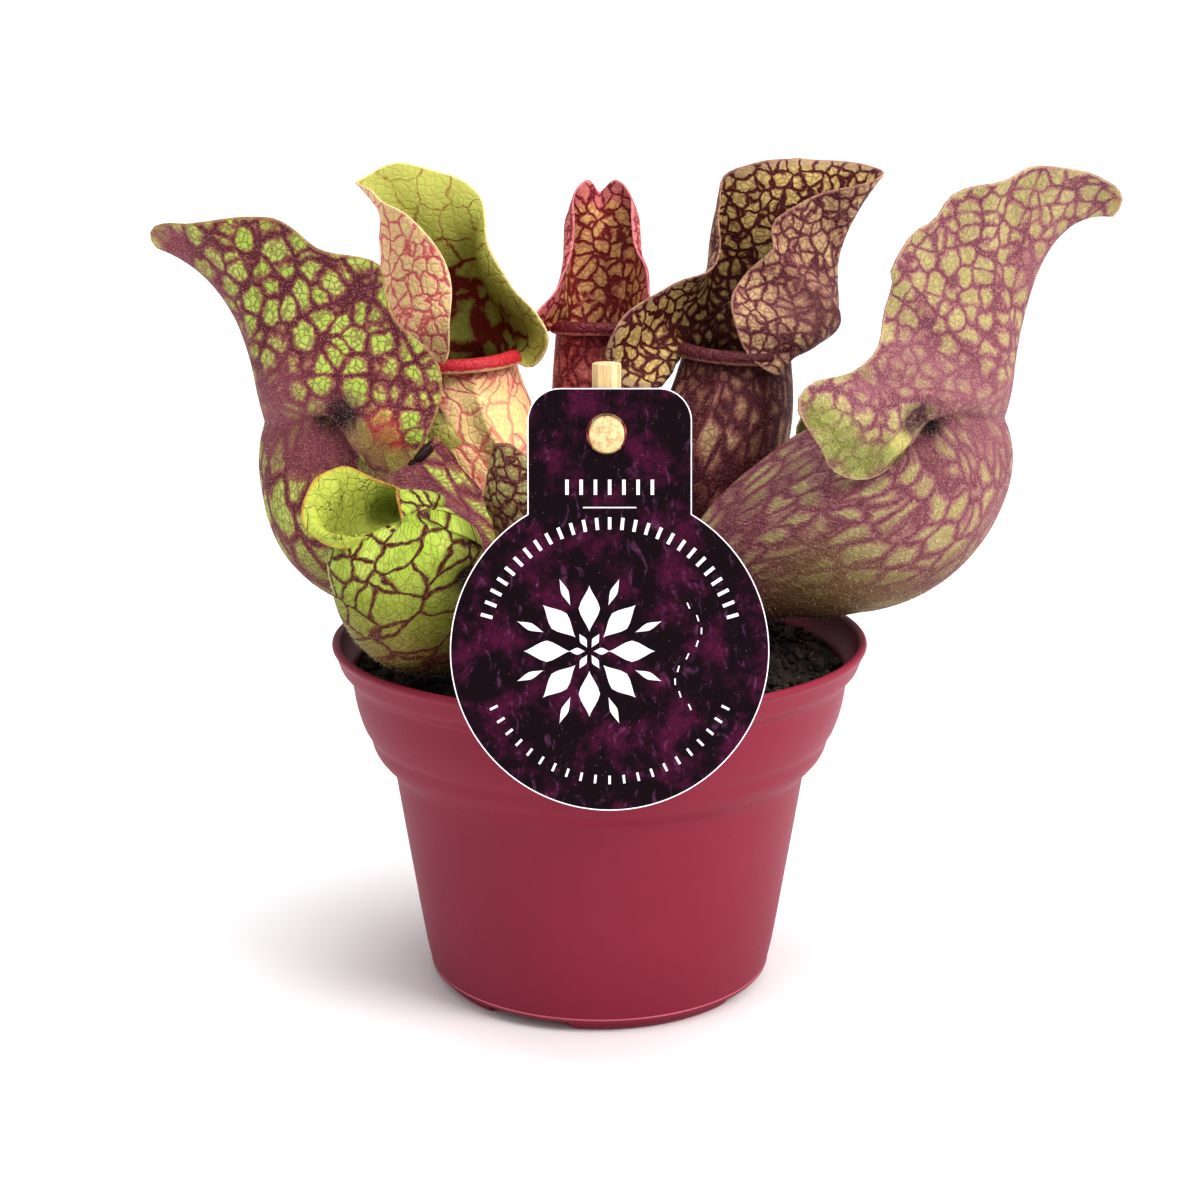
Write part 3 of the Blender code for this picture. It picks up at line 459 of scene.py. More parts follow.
def leaf_finish(name, look, inside):
    """Skin of a leaf: cells of green between two nets of red veins, with purple flushes and a fine fuzz,
    and painted shade low on the leaf, inside its tube and in its pits.
    """
    f = Finish(name)
    place = f.place()
    purple, edge, lip, mouth = f.own("purple"), f.own("edge"), f.own("lip"), f.own("mouth")
    broad, small = f.noise(place, 110, 2), f.noise(place, 600, 2)
    kind = "inner_" if inside else ""

    def setting(key, usual=0.0):
        return look.get(kind + key, look.get(key, usual))

    rounding = 0 if inside else setting("rounding", 0.25)
    coarse = leaf_net(f, f.unwrapped("net"), setting("net"), 0.22, rounding)
    fine = leaf_net(f, f.unwrapped("skin"), look["fine_net"], 0.12, 0)
    width = (broad * 0.5 + 0.55 + purple * 0.45 + mouth * setting("mouth")) * setting("width")
    away = coarse / width + (small - 0.5) * 0.7
    if inside:
        away = away + (1 - mouth) ** 2 * setting("fade") * 1.2

    def veined(keys):
        places = (0.0, 0.1, 0.27, 0.46, 0.74)
        stops = [(at, pigment(look[key])) for at, key in zip(places, keys)]
        return f.node("ShaderNodeValToRGB", {"stops": stops}, {0: away / 1.7})

    outer = veined(("vein", "vein", "halo", "dim", "cell"))
    mottle = f.step(broad, 0.35, 0.7) * f.step(away, 0.6, 1.2) * 0.6
    outer = f.mix(mottle, outer, pigment(look["pale"]))
    lines = (1 - f.step(fine, 0.05, 0.26)) * f.step(away, 0.15, 0.6)
    if inside:
        colour = veined(("inner_vein", "inner_vein", "inner_vein", "inner_dim", "inner"))
        colour = f.mix(lines * setting("lines", 0.6) * 0.65, colour, pigment(look["inner_vein"]))
        if look.get("band"):
            share = 1 - f.step(edge + broad * 1.4, look["band"] * 0.8, look["band"] * 1.25)
            colour = f.mix(share, colour, outer)
        # Painted shade: inside the tube, below its rim, the lining goes over to a near-black colour.
        painted_throat_shade = pigment([c * 0.4 for c in look["inner_vein"]])
        colour = f.mix(f.own("deep"), colour, painted_throat_shade)
        # The dark spots are painted shade in the pits, on the lining too.
        for key in ("pale", "dark"):
            colour = f.mix(f.step(f.own(key), 0.2, 0.8), colour, pigment(SPOT_COLOURS[key][0]))
    else:
        colour = f.mix(lines * setting("lines", 0.6), outer, pigment(look["fine"]))
        streaks = f.noise(f.stretch(f.unwrapped("net"), (1.5, 0.12, 1)), 1, 2)
        share = f.step(streaks, 0.5, 0.64) * (1 - f.own("hood")) * setting("stripes")
        colour = f.mix(share, colour, pigment(look["vein"]))
        patch, veil = f.noise(place, 160, 3), setting("veil")
        haze = f.step(patch * 0.7 + purple * 0.55, 0.36, 0.8) * (1 - veil) + veil
        colour = f.mix(haze * look["cover"], colour, pigment(look["flush"]))
        # Painted shade: lower down, the leaf's colour goes over to its dark base colour.
        colour = f.mix(f.own("low") * 0.75, colour, pigment(look["base"]))
        # Spots of colour; the dark ones are painted shade in the pits.
        for key, (tint, strength) in SPOT_COLOURS.items():
            share = f.step(f.own(key) + (patch - 0.5) * 0.4, 0.2, 0.9) * strength
            colour = f.mix(share * (1 - lines * 0.4), colour, pigment(tint))
    colour = f.mix(lip, colour, pigment(look["lip"]))
    colour = f.mix((1 - f.step(edge + small * 0.5, 0.3, 0.8)) * 0.7, colour, pigment(look["rim"]))
    # Fine fuzz: pale specks of hair colour, partly a painted highlight on the hairs, and dark specks of
    # painted shade between them.
    fuzz = f.noise(place, 2600, 2, roughness=0.7)
    strength = setting("fuzz", 0.16) * (0.5 if inside else 1)
    shade = pigment([c * 0.5 for c in look["vein"]])
    colour = f.mix(f.step(fuzz, 0.52, 0.72) * strength, colour, pigment(HAIR_COLOUR))
    colour = f.mix((1 - f.step(fuzz, 0.3, 0.48)) * strength * 1.6, colour, shade)
    height = f.step(away, 0.1, 1.2) * 0.7 + f.step(fine, 0.0, 0.4) * 0.35 + small * 0.3 + fuzz * 0.25
    return f.feed(
        base_color=colour,
        roughness=0.45 + small * 0.2 - lip * 0.2,
        specular_ior_level=0.2,
        normal=f.bump(height, 0.25),
        subsurface_weight=0.05,
        subsurface_scale=1.0 * MM,
        subsurface_radius=(1.0, 0.45, 0.25),
    )


def shaded(colour, share):
    """The linear colour, darker or lighter, with its alpha."""
    return (*[min(part * share, 1) for part in colour], 1)


def pot_finish(colour):
    """Moulded plastic with faint streaks, rare dark specks and a pale seam above the foot ring."""
    f = Finish("pot_plastic")
    place = f.place()
    broad, grain = f.noise(place, 22, 3), f.noise(place, 900, 2)
    streaks = f.noise(f.stretch(place, (60, 60, 420)), 1, 2)
    specks = 1 - f.step(f.cells(place, 260, "F1"), 0.06, 0.13)
    rare = f.step(f.noise(place, 120, 1), 0.6, 0.7)
    ground = f.mix(f.step(broad, 0.3, 0.7) * 0.35, shaded(colour, 1), shaded(colour, 0.86))
    ground = f.mix(streaks * 0.12, ground, shaded(colour, 1.3))
    ground = f.mix(specks * rare * 0.5, ground, shaded(colour, 0.45))
    height = f.node("ShaderNodeSeparateXYZ", inputs={0: place}, output=2)
    seam = f.step(height, (SEAM - 0.3) * MM, (SEAM - 0.05) * MM)
    seam = seam * (1 - f.step(height, (SEAM + 0.05) * MM, (SEAM + 0.3) * MM))
    ground = f.mix(seam * (0.35 + streaks * 0.5), ground, linear((214, 132, 144)))
    return f.feed(
        base_color=ground,
        roughness=0.36 + broad * 0.14 + grain * 0.08,
        normal=f.bump(grain * 0.5 + streaks * 0.4, 0.05),
        subsurface_weight=0.05,
        subsurface_scale=1 * MM,
        specular_ior_level=0.25,
    )


def peat_finish(colour):
    """Damp peat: dark clods and paler dust."""
    f = Finish("peat")
    place = f.place()
    clods, dust = f.noise(place, 320, 4, roughness=0.65), f.noise(place, 1400, 3)
    ground = f.mix(f.step(clods, 0.35, 0.7), shaded(colour, 0.35), shaded(colour, 1.5))
    ground = f.mix(f.step(dust, 0.6, 0.78) * 0.6, ground, linear((120, 92, 66)))
    return f.feed(base_color=ground, roughness=0.78 + dust * 0.2, normal=f.bump(clods + dust * 0.4, 0.7))


def plain_finish(name, colour, dark, scale, roughness=0.6, depth=0.1):
    """A natural surface of two shades, for fibres, hairs and the crown."""
    f = Finish(name)
    mottle = f.noise(f.place(), scale, 4)
    ground = f.mix(f.step(mottle, 0.35, 0.68), linear(colour), linear(dark))
    return f.feed(base_color=ground, roughness=roughness + mottle * 0.15, normal=f.bump(mottle, depth))


def wood_finish(name, colour, along):
    """Pale wood with its grain along the given axis, and darker dots on the cut ends."""
    f = Finish(name)
    place = f.place()
    squeeze = [900.0, 900.0, 900.0]
    squeeze[along] = 35.0
    grain = f.noise(f.stretch(place, squeeze), 1, 3, roughness=0.6)
    pores = f.noise(f.stretch(place, [s * 2.6 for s in squeeze]), 1, 2)
    broad = f.noise(place, 140, 2)
    ground = f.mix(f.step(grain, 0.42, 0.68) * 0.75, shaded(colour, 1), linear((176, 142, 96)))
    ground = f.mix(f.step(pores, 0.58, 0.7) * 0.5, ground, linear((140, 118, 88)))
    ground = f.mix(f.step(broad, 0.5, 0.75) * 0.3, ground, linear((205, 190, 160)))
    bumps = f.bump(grain + pores * 0.5, 0.12)
    return f.feed(base_color=ground, roughness=0.55 + grain * 0.25, normal=bumps)


def card_finish(colour):
    """Dark printed card, with plum blotches, fine pale streaks and specks under a thin gloss."""
    f = Finish("card_print")
    face = f.unwrapped("face")
    blotch = f.noise(f.bent(face, 1.2, 0.3), 1.1, 3, roughness=0.5)
    veil = f.noise(f.stretch(face, (1, 1, 1), (7, 3, 0)), 4.5, 4, roughness=0.7)
    streaks = f.noise(f.stretch(f.bent(face, 0.8, 1.2), (9, 1.6, 1)), 1, 3)
    net = f.cells(f.bent(face, 3, 0.2), 4.2)
    specks = 1 - f.step(f.cells(face, 11, "F1"), 0.05, 0.12)
    ground = f.mix(f.step(blotch + veil * 0.35, 0.62, 0.86) * 0.8, shaded(colour, 1), linear((86, 20, 60)))
    ground = f.mix((1 - f.step(net, 0.0, 0.07)) * 0.5, ground, linear((22, 8, 20)))
    brushed = f.step(streaks, 0.56, 0.66) * f.step(veil, 0.42, 0.62)
    ground = f.mix(brushed * 0.4, ground, linear((120, 70, 110)))
    ground = f.mix(specks * f.step(veil, 0.5, 0.56) * 0.6, ground, linear((190, 150, 180)))
    return f.feed(base_color=ground, roughness=0.4 + veil * 0.12, normal=f.bump(veil, 0.02),
                  specular_ior_level=0.1)


def paper_finish(name, colour):
    """Matt white paper with a trace of its fibres."""
    f = Finish(name)
    fibre = f.noise(f.place(), 1100, 3)
    ground = f.mix(f.step(fibre, 0.4, 0.7) * 0.2, shaded(colour, 1), shaded(colour, 0.75))
    return f.feed(base_color=ground, roughness=0.5 + fibre * 0.2, normal=f.bump(fibre, 0.02))


# ---------------------------------------------------------------- Modelling helpers

def deselect():
    if bpy.context.mode != "OBJECT":
        bpy.ops.object.mode_set(mode="OBJECT")
    for other in bpy.context.view_layer.objects:
        other.select_set(False)


def started(name):
    """Names the primitive that was just added."""
    piece = bpy.context.object
    piece.name = piece.data.name = name
    return piece


def only(piece):
    """Selects the piece and nothing else, in object mode."""
    deselect()
    piece.select_set(True)
    bpy.context.view_layer.objects.active = piece


def edit(piece):
    """Opens edit mode on the piece, with nothing of it selected."""
    only(piece)
    bpy.ops.object.mode_set(mode="EDIT")
    bpy.ops.mesh.select_mode(type="VERT")
    bpy.ops.mesh.select_all(action="DESELECT")


def close_up():
    """In edit mode, joins points that lie together and turns all faces outwards."""
    bpy.ops.mesh.select_all(action="SELECT")
    bpy.ops.mesh.remove_doubles(threshold=1e-6)
    bpy.ops.mesh.normals_make_consistent(inside=False)


def pick_faces(piece, test):
    """In edit mode, selects the faces whose middle (mm about the pot's axis) and normal pass the test."""
    bpy.ops.mesh.select_all(action="DESELECT")
    bpy.ops.mesh.select_mode(type="FACE")
    shape = bmesh.from_edit_mesh(piece.data)
    for face in shape.faces:
        middle = np.array(piece.matrix_world @ face.calc_center_median()) / MM - AXIS
        face.select_set(bool(test(middle, face.normal)))
    bmesh.update_edit_mesh(piece.data)


def settle(piece, angle=40):
    """Leaves edit mode, puts the piece's place into its mesh and smooths it."""
    only(piece)
    bpy.ops.object.transform_apply(location=True, rotation=True, scale=True)
    bpy.ops.object.shade_smooth_by_angle(angle=math.radians(angle))
    return piece


def apply_modifier(piece, kind, **settings):
    modifier = piece.modifiers.new(kind.title(), kind)
    for key, value in settings.items():
        setattr(modifier, key, value)
    only(piece)
    bpy.ops.object.modifier_apply(modifier=modifier.name)


def on_axis(x=0.0, y=0.0, z=0.0):
    """A point given in mm about the pot's axis, in metres in the row frame."""
    return Vector((np.array([x, y, z]) + AXIS) * MM)


def turned(name, profile, sides):
    """A shape turned round the pot's axis: a circle extruded ring after ring through (radius, height)."""
    deselect()
    radius, height = profile[0]
    bpy.ops.mesh.primitive_circle_add(vertices=sides, radius=radius * MM, location=on_axis(0, 0, height))
    piece = started(name)
    edit(piece)
    bpy.ops.mesh.select_all(action="SELECT")
    for (before, low), (radius, high) in zip(profile, profile[1:]):
        bpy.ops.mesh.extrude_edges_move(TRANSFORM_OT_translate={"value": (0, 0, (high - low) * MM)})
        share = radius / before
        bpy.ops.transform.resize(value=(share, share, 1), center_override=on_axis(0, 0, high))
    return piece


def drill(piece, radius, depth, at, sides):
    """Cuts an upright round hole through the piece."""
    deselect()
    bpy.ops.mesh.primitive_cylinder_add(vertices=sides, radius=radius * MM, depth=depth * MM, location=at)
    bit = started("drill")
    apply_modifier(piece, "BOOLEAN", operation="DIFFERENCE", object=bit, solver="EXACT")
    bpy.data.objects.remove(bit)


def scatter(name, pattern, places):
    """One mesh of many copies of a small pattern. A place is (point in mm, 3x3 matrix in mm)."""
    corners = np.array([v.co for v in pattern.data.vertices])
    faces = [list(p.vertices) for p in pattern.data.polygons]
    bpy.data.objects.remove(pattern)
    points, polygons = [], []
    for count, (point, frame_) in enumerate(places):
        points.append(corners @ np.asarray(frame_).T + point)
        polygons += [[i + count * len(corners) for i in face] for face in faces]
    mesh = bpy.data.meshes.new(name)
    mesh.from_pydata(((np.concatenate(points) + AXIS) * MM).tolist(), [], polygons)
    mesh.update()
    piece = bpy.data.objects.new(name, mesh)
    bpy.context.scene.collection.objects.link(piece)
    return piece


def facing(direction, spin=0.0, sizes=(1, 1, 1)):
    """A matrix that turns +Z to the direction, after a spin about it, with sizes along its own axes."""
    turn = Vector(direction).to_track_quat("Z", "Y").to_matrix() @ Matrix.Rotation(spin, 3, "Z")
    return np.array(turn) @ np.diag(sizes)


# ---------------------------------------------------------------- Leaves

def unit(vectors):
    return vectors / np.maximum(np.linalg.norm(vectors, axis=-1, keepdims=True), 1e-9)


def smooth_step(start, end, values):
    t = np.clip((values - start) / (end - start), 0, 1)
    return t * t * (3 - 2 * t)


def spread_along(points, fractions):
    """Points at fractions of the length of a Catmull-Rom curve through the given points."""
    points = np.asarray(points, float)
    padded = np.vstack([2 * points[0] - points[1], points, 2 * points[-1] - points[-2]])
    t = np.linspace(0, len(points) - 1, 1200)
    index = np.minimum(t.astype(int), len(points) - 2)
    f = (t - index)[:, None]
    a, b, c, d = (padded[index + k] for k in range(4))
    square, cube = 2 * a - 5 * b + 4 * c - d, 3 * b - 3 * c + d - a
    curve = 0.5 * (2 * b + (c - a) * f + square * f**2 + cube * f**3)
    steps = np.linalg.norm(np.diff(curve[:, :3], axis=0), axis=1)
    length = np.concatenate([[0], np.cumsum(steps)])
    at = np.asarray(fractions) * length[-1]
    return np.stack([np.interp(at, length, curve[:, k]) for k in range(curve.shape[1])], -1)


def swap(points):
    """(out, up, side) as written above becomes (out, side, up), the order of a mesh's axes."""
    return np.asarray([(out, side, up) for out, up, side in points], float)


def nearness(points, centre, size):
    """1 at the centre, given as (out, up, side), and 0 far from it."""
    return np.exp(-(np.linalg.norm(points - swap([centre]), axis=-1) / size) ** 2)


def normals_of(grid):
    """Normals of a grid that closes on itself along its second axis, pointing to the leaf's outside."""
    along = np.gradient(grid, axis=0)
    around = np.roll(grid, -1, axis=1) - np.roll(grid, 1, axis=1)
    return unit(np.cross(around, along))


def lengths(grid, axis):
    """Running length of the grid's lines along an axis."""
    steps = np.linalg.norm(np.diff(grid, axis=axis), axis=-1)
    return np.insert(np.cumsum(steps, axis=axis), 0, 0, axis=axis)


class Leaf:
    """The surface of one pitcher leaf, as rows of points round it, from its foot to the hood's margin."""

    def __init__(self, azimuth, spine, width, depth, margin, roll, dimple, wing, lip, wave, spots,
                 far_margin=None, far_roll=None, far_dimple=None, tilt=0.0, twist=0.0,
                 bulge=(0, 0), far_bulge=(0, 0), dents=()):
        self.azimuth = math.radians(azimuth)
        self.wing, self.lip, self.tilt, self.wave = wing, lip, tilt, wave
        self.spots, self.dents = spots, dents
        self.bulge, self.far_bulge = bulge, far_bulge
        self.twist = math.radians(twist)
        self.margin = swap(margin)
        self.far_margin = swap(far_margin) if far_margin else self.margin * (1, -1, 1)
        self.roll, self.far_roll = roll, far_roll or roll
        self.spine = np.hstack([swap(spine), np.stack([width, depth], -1)])
        on_hood, on_lip = np.linspace(0, 1, HOOD_COLUMNS + 1), np.linspace(1, 2, LIP_COLUMNS + 1)
        half = np.concatenate([on_hood[:-1], on_lip])
        self.column = np.concatenate([half, half[-2:0:-1]])
        self.near = np.arange(len(self.column)) < len(half)
        turn = np.radians(np.where(self.near, dimple, far_dimple or dimple))
        turned_by = turn * np.minimum(self.column, 1) ** 0.85
        turned_by += (math.pi - turn) * np.maximum(self.column - 1, 0)
        self.angle = np.where(self.near, 1, -1) * turned_by

    def tube(self, with_wing):
        """The tube from its foot to the mouth's rim, with the keel-like wing down its front."""
        v = np.linspace(0, 1, TUBE_ROWS + 1)
        line = spread_along(self.spine, v)
        centre, width, depth = line[:, :3], line[:, 3], line[:, 4]
        self.along = unit(np.gradient(centre, axis=0))
        self.along = unit(self.along * smooth_step(0, 0.12, v)[:, None] +
                          np.array([0, 0, 1]) * (1 - smooth_step(0, 0.12, v))[:, None])
        side = np.array([0, 1.0, 0])
        side = unit(side - (self.along @ side)[:, None] * self.along)
        back = np.cross(side, self.along)
        angle = self.angle + self.twist * smooth_step(0.3, 1, v)[:, None]
        cos, sin = np.cos(angle), np.sin(angle)
        across = width[:, None, None] * sin[..., None] * side[:, None]
        ring = centre[:, None] + across + depth[:, None, None] * cos[..., None] * back[:, None]
        if with_wing:
            height = self.wing * np.sin(np.pi * v) ** 0.6
            keel = np.clip(1 - (2 - self.column) / 0.24, 0, 1) ** 1.6
            ring -= height[:, None, None] * keel[None, :, None] * back[:, None]
        lift = smooth_step(0.8, 1, v)[:, None] * self.tilt * cos * depth[-1]
        ring += lift[..., None] * self.along[-1]
        outward = width[-1] * sin[-1][:, None] * side[-1] + depth[-1] * cos[-1][:, None] * back[-1]
        self.outward = unit(outward)
        self.mouth = centre[-1]
        return ring

    def hood(self, rim):
        """From the rim out to the margin: a hood over the back of the mouth, a rolled lip in front."""
        up = self.along[-1]
        hood = np.minimum(self.column, 1)
        near, far = spread_along(self.margin, hood), spread_along(self.far_margin, hood)
        edge = np.where(self.near[:, None], near, far)
        lean = np.radians(5 + 75 * hood**1.5)[:, None]
        leave = unit(up * np.cos(lean) + self.outward * np.sin(lean))
        chord = edge - rim
        length = np.linalg.norm(chord, axis=1, keepdims=True)
        chord = unit(chord)
        flare = edge - (self.mouth + 10 * up)
        flare = unit(flare - (flare * chord).sum(1, keepdims=True) * chord)
        knots = np.linspace(0, 1, len(self.roll))
        roll, far_roll = np.interp(hood, knots, self.roll), np.interp(hood, knots, self.far_roll)
        roll = np.where(self.near, roll, far_roll)[:, None]
        arrive = unit(chord * (1 - np.abs(roll)) + flare * roll)
        first, second = rim + leave * length * 0.42, edge - arrive * length * 0.38
        t = np.linspace(0, 1, HOOD_ROWS + 1)[1:, None, None]
        sheet = (1 - t) ** 3 * rim + 3 * (1 - t) ** 2 * t * first
        sheet += 3 * (1 - t) * t**2 * second + t**3 * edge
        bulges = [np.interp(hood, np.linspace(0, 1, len(b)), b) for b in (self.bulge, self.far_bulge)]
        bulge = np.where(self.near, *bulges)[:, None]
        sheet += bulge * self.outward * np.sin(np.pi * t**0.8) ** 1.2
        turn = np.radians(200) * t
        rolled = rim + self.lip * ((1 - np.cos(turn)) * self.outward + np.sin(turn) * up)
        at_near, at_far = HOOD_COLUMNS, len(self.column) - HOOD_COLUMNS
        near_end, far_end = sheet[:, [at_near]] - rim[at_near], sheet[:, [at_far]] - rim[at_far]
        side_end = np.where(self.near[None, :, None], near_end, far_end)
        share = smooth_step(1, 1.3, self.column)[None, :, None]
        front = (rim + side_end) * (1 - share) + rolled * share
        return np.where((self.column <= 1)[None, :, None], sheet, front)

    def waved(self, grid):
        """The hood's sheet ripples more and more towards its margin."""
        t = np.clip((np.arange(len(grid)) - TUBE_ROWS) / HOOD_ROWS, 0, 1)[:, None]
        run = lengths(grid[[-1]], 1)[0]
        run = np.where(self.near, run, run[-1] - run)[None]
        ripple = np.sin(run / 2.6 + 1.3) * 0.5 + np.sin(run / 4.3 + self.azimuth)
        fade = t**2.2 * (1 - smooth_step(0.88, 1.0, np.minimum(self.column, 1)))[None]
        push = self.wave * fade * ripple
        for *centre, size, depth in self.dents:
            push = push + depth * nearness(grid, centre, size)
        return grid + push[..., None] * normals_of(grid)

    def surface(self, wall):
        """The closed wall: rows of points from the foot up the outside and back down the inside."""
        tubes = self.tube(False), self.tube(True)
        plain, outer = (self.waved(np.concatenate([tube, self.hood(tube[-1])])) for tube in tubes)
        out = normals_of(plain)
        t = np.clip((np.arange(len(plain)) - TUBE_ROWS) / HOOD_ROWS, 0, 1)[:, None, None]
        inner = plain - wall * (1 - 0.5 * t**3) * out
        over = unit(outer[-1] - outer[-3])
        middle, half = (outer[-1] + inner[-1]) / 2, (outer[-1] - inner[-1]) / 2
        angles = [math.pi * k / RIM_ROWS for k in range(1, RIM_ROWS)]
        reach = np.linalg.norm(half, axis=1, keepdims=True)
        bead = np.array([middle + half * math.cos(a) + over * reach * math.sin(a) for a in angles])
        inner = inner[3:][::-1]
        foot = np.repeat(outer[:1].mean(axis=1, keepdims=True), len(self.column), axis=1)
        pit = np.repeat(inner[-1:].mean(axis=1, keepdims=True), len(self.column), axis=1)
        points = np.concatenate([foot, outer, bead, inner, pit])
        rows = np.concatenate([[0], np.arange(len(outer)), [len(outer) - 1] * len(bead),
                               np.arange(3, len(outer))[::-1], [3]])
        inside = np.arange(len(points)) > len(outer) + len(bead) // 2
        return points, self.layers(plain, rows, points, inside), inside

    def layers(self, grid, rows, points, inside):
        """What the leaf's materials read, for each point: places in two flat maps, and shares of colour."""
        half = HOOD_COLUMNS + LIP_COLUMNS
        sign = np.where(self.near, 1, -1)
        forward = lengths(grid[:, : half + 1], 1)
        backward = lengths(np.concatenate([grid[:, :1], grid[:, :half - 1:-1]], 1), 1)
        around = np.concatenate([forward, backward[:, -2:0:-1]], 1)
        up = lengths(grid, 0)
        rim = around[TUBE_ROWS]
        share = rim / rim[half]
        near_half, far_half = (around[:, [k]] / share[k] for k in (HOOD_COLUMNS, -HOOD_COLUMNS))
        hood_half = np.where(self.near[None], near_half, far_half)
        fixed = hood_half[[TUBE_ROWS]]
        t = (np.arange(len(grid)) / TUBE_ROWS)[:, None]
        power = 0.9 * smooth_step(0.9, 1.3, t)
        across = share * fixed ** (1 - power) * hood_half**power
        on_tube = 1 - smooth_step(0.8, 1.1, t)
        across = across * (1 + on_tube * (self.tube_share - 1))
        squeeze = 1 / self.tall + (0.88 - 1 / self.tall) * smooth_step(0.7, 1.1, t[:, 0])
        steps = np.diff(up, axis=0) * squeeze[1:, None]
        climb = np.insert(np.cumsum(steps, axis=0), 0, 0, axis=0)
        spread = np.clip(around / np.maximum(across, 0.5), 0.4, 2.2)
        spread[:, 0] = spread[:, 1]
        edge = up[-1] - up
        layers = {
            "net": np.stack([across * sign, climb], -1) / 10,
            "skin": np.stack([around * sign, up * 0.75], -1) / 10,
            "spread": spread,
            "edge": edge,
        }
        layers = {key: value[rows] for key, value in layers.items()}
        below = np.clip((TUBE_ROWS - rows) / TUBE_ROWS, 0, 1)[:, None] * np.ones((1, len(share)))
        # Share of painted shade inside the tube, full a little below the rim.
        layers["deep"] = smooth_step(-0.05, 0.12, below) * inside[:, None]
        past = np.clip((rows - TUBE_ROWS) / HOOD_ROWS, 0, 1)[:, None]
        layers["mouth"] = (1 - smooth_step(0, 0.8, past)) * np.ones((1, len(share)))
        layers["hood"] = smooth_step(0, 0.3, past) * np.ones((1, len(share)))
        # Share of painted shade low on the leaf: 1 below 84 mm, 0 above 110 mm.
        layers["low"] = 1 - smooth_step(84, 110, points[..., 2])
        on_lip = smooth_step(1.0, 1.12, self.column)[None]
        layers["lip"] = on_lip * smooth_step(0.0, 0.25, past)
        for key in ("purple", *SPOT_COLOURS):
            total = np.zeros(points.shape[:2])
            for *centre, size in self.spots.get(key, ()):
                total = np.maximum(total, nearness(points, centre, size))
            layers[key] = total
        return layers


def leaf_piece(name, spec, wall, finishes):
    """The leaf's mesh: a grid whose rows and columns are moved to the leaf's surface and closed."""
    leaf = Leaf(**spec)
    look = LEAF_COLOURS[name.removesuffix("_leaf")]
    leaf.tube_share, leaf.tall = look["net"] / look["tube_net"], look["tall"]
    points, layers, inside = leaf.surface(wall)
    half = HOOD_COLUMNS + LIP_COLUMNS
    count = points.shape[1]
    order = np.concatenate([np.arange(half, count), np.arange(half + 1)])
    far_front = np.arange(len(order)) == 0
    c, s = math.cos(leaf.azimuth), math.sin(leaf.azimuth)
    turn = np.array([[c, -s, 0], [s, c, 0], [0, 0, 1]])
    placed = (points @ turn.T + AXIS) * MM
    deselect()
    bpy.ops.mesh.primitive_grid_add(x_subdivisions=len(order) - 1, y_subdivisions=len(points) - 1, size=1)
    piece = started(name)
    mesh = piece.data
    mesh.vertices.foreach_set("co", placed[:, order].reshape(-1))
    corner = np.empty(len(mesh.loops), int)
    mesh.loops.foreach_get("vertex_index", corner)
    while mesh.uv_layers:
        mesh.uv_layers.remove(mesh.uv_layers[0])
    for key, values in layers.items():
        values = values[:, order].copy()
        if values.ndim == 3:
            values[:, far_front, 0] *= -1
            flat = mesh.uv_layers.new(name=key)
            flat.uv.foreach_set("vector", values.reshape(-1, 2)[corner].reshape(-1))
        else:
            mesh.attributes.new(key, "FLOAT", "POINT").data.foreach_set("value", values.reshape(-1))
    for finish in finishes:
        mesh.materials.append(finish)
    row_of_face = np.repeat(np.arange(len(points) - 1), len(order) - 1)
    mesh.polygons.foreach_set("material_index", np.where(inside[row_of_face], 1, 0).astype(np.int32))
    edit(piece)
    close_up()
    bpy.ops.object.mode_set(mode="OBJECT")
    mesh.shade_smooth()
    return piece


def leaf_hairs(name, piece, count, length, seed):
    """Short pale hairs that stand on the outside of a leaf."""
    draw = random.Random(seed)
    faces = [p for p in piece.data.polygons if p.material_index == 0]
    weights = np.cumsum([p.area for p in faces])
    deselect()
    bpy.ops.mesh.primitive_cone_add(vertices=3, radius1=1, radius2=0, depth=1, location=(0, 0, 0))
    hair = started(name + "_pattern")
    hair.data.transform(Matrix.Translation((0, 0, 0.42)))
    places = []
    for _ in range(count):
        face = faces[int(np.searchsorted(weights, draw.random() * weights[-1]))]
        tilt = Vector((draw.gauss(0, 0.3), draw.gauss(0, 0.3), draw.gauss(0.25, 0.3)))
        direction = face.normal + tilt
        size = length * draw.uniform(0.4, 1.0)
        point = np.array(face.center) / MM - AXIS
        places.append((point, facing(direction, draw.random() * 6, (0.03, 0.03, size))))
    return scatter(name, hair, places)


# ---------------------------------------------------------------- Operators

def sizes():
    return bpy.context.scene.plant_sizes


def colours():
    return bpy.context.scene.plant_colours


class PLANT_OT_leaves(bpy.types.Operator):
    """Grows the seven pitcher leaves with their hairs"""
    bl_idname = "plant.leaves"
    bl_label = "Pitcher Leaves"

    def execute(self, context):
        wall = sizes().leaf_wall / MM
        hair = plain_finish("leaf_hair", (235, 228, 205), (205, 195, 165), 300, 0.5)
        for number, (name, spec) in enumerate(LEAVES.items()):
            look = LEAF_COLOURS[name]
            skin = leaf_finish(name + "_skin", look, False)
            lining = leaf_finish(name + "_lining", look, True)
            piece = leaf_piece(name + "_leaf", spec, wall, (skin, lining))
            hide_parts(name)
            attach(piece, "root")
            count = sizes().hair_count if number < 6 else sizes().hair_count // 4
            hairs = leaf_hairs(name + "_hairs", piece, count, sizes().hair_length / MM, 11 + number)
            hairs.data.materials.append(hair)
            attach(hairs, "root")
        return {"FINISHED"}


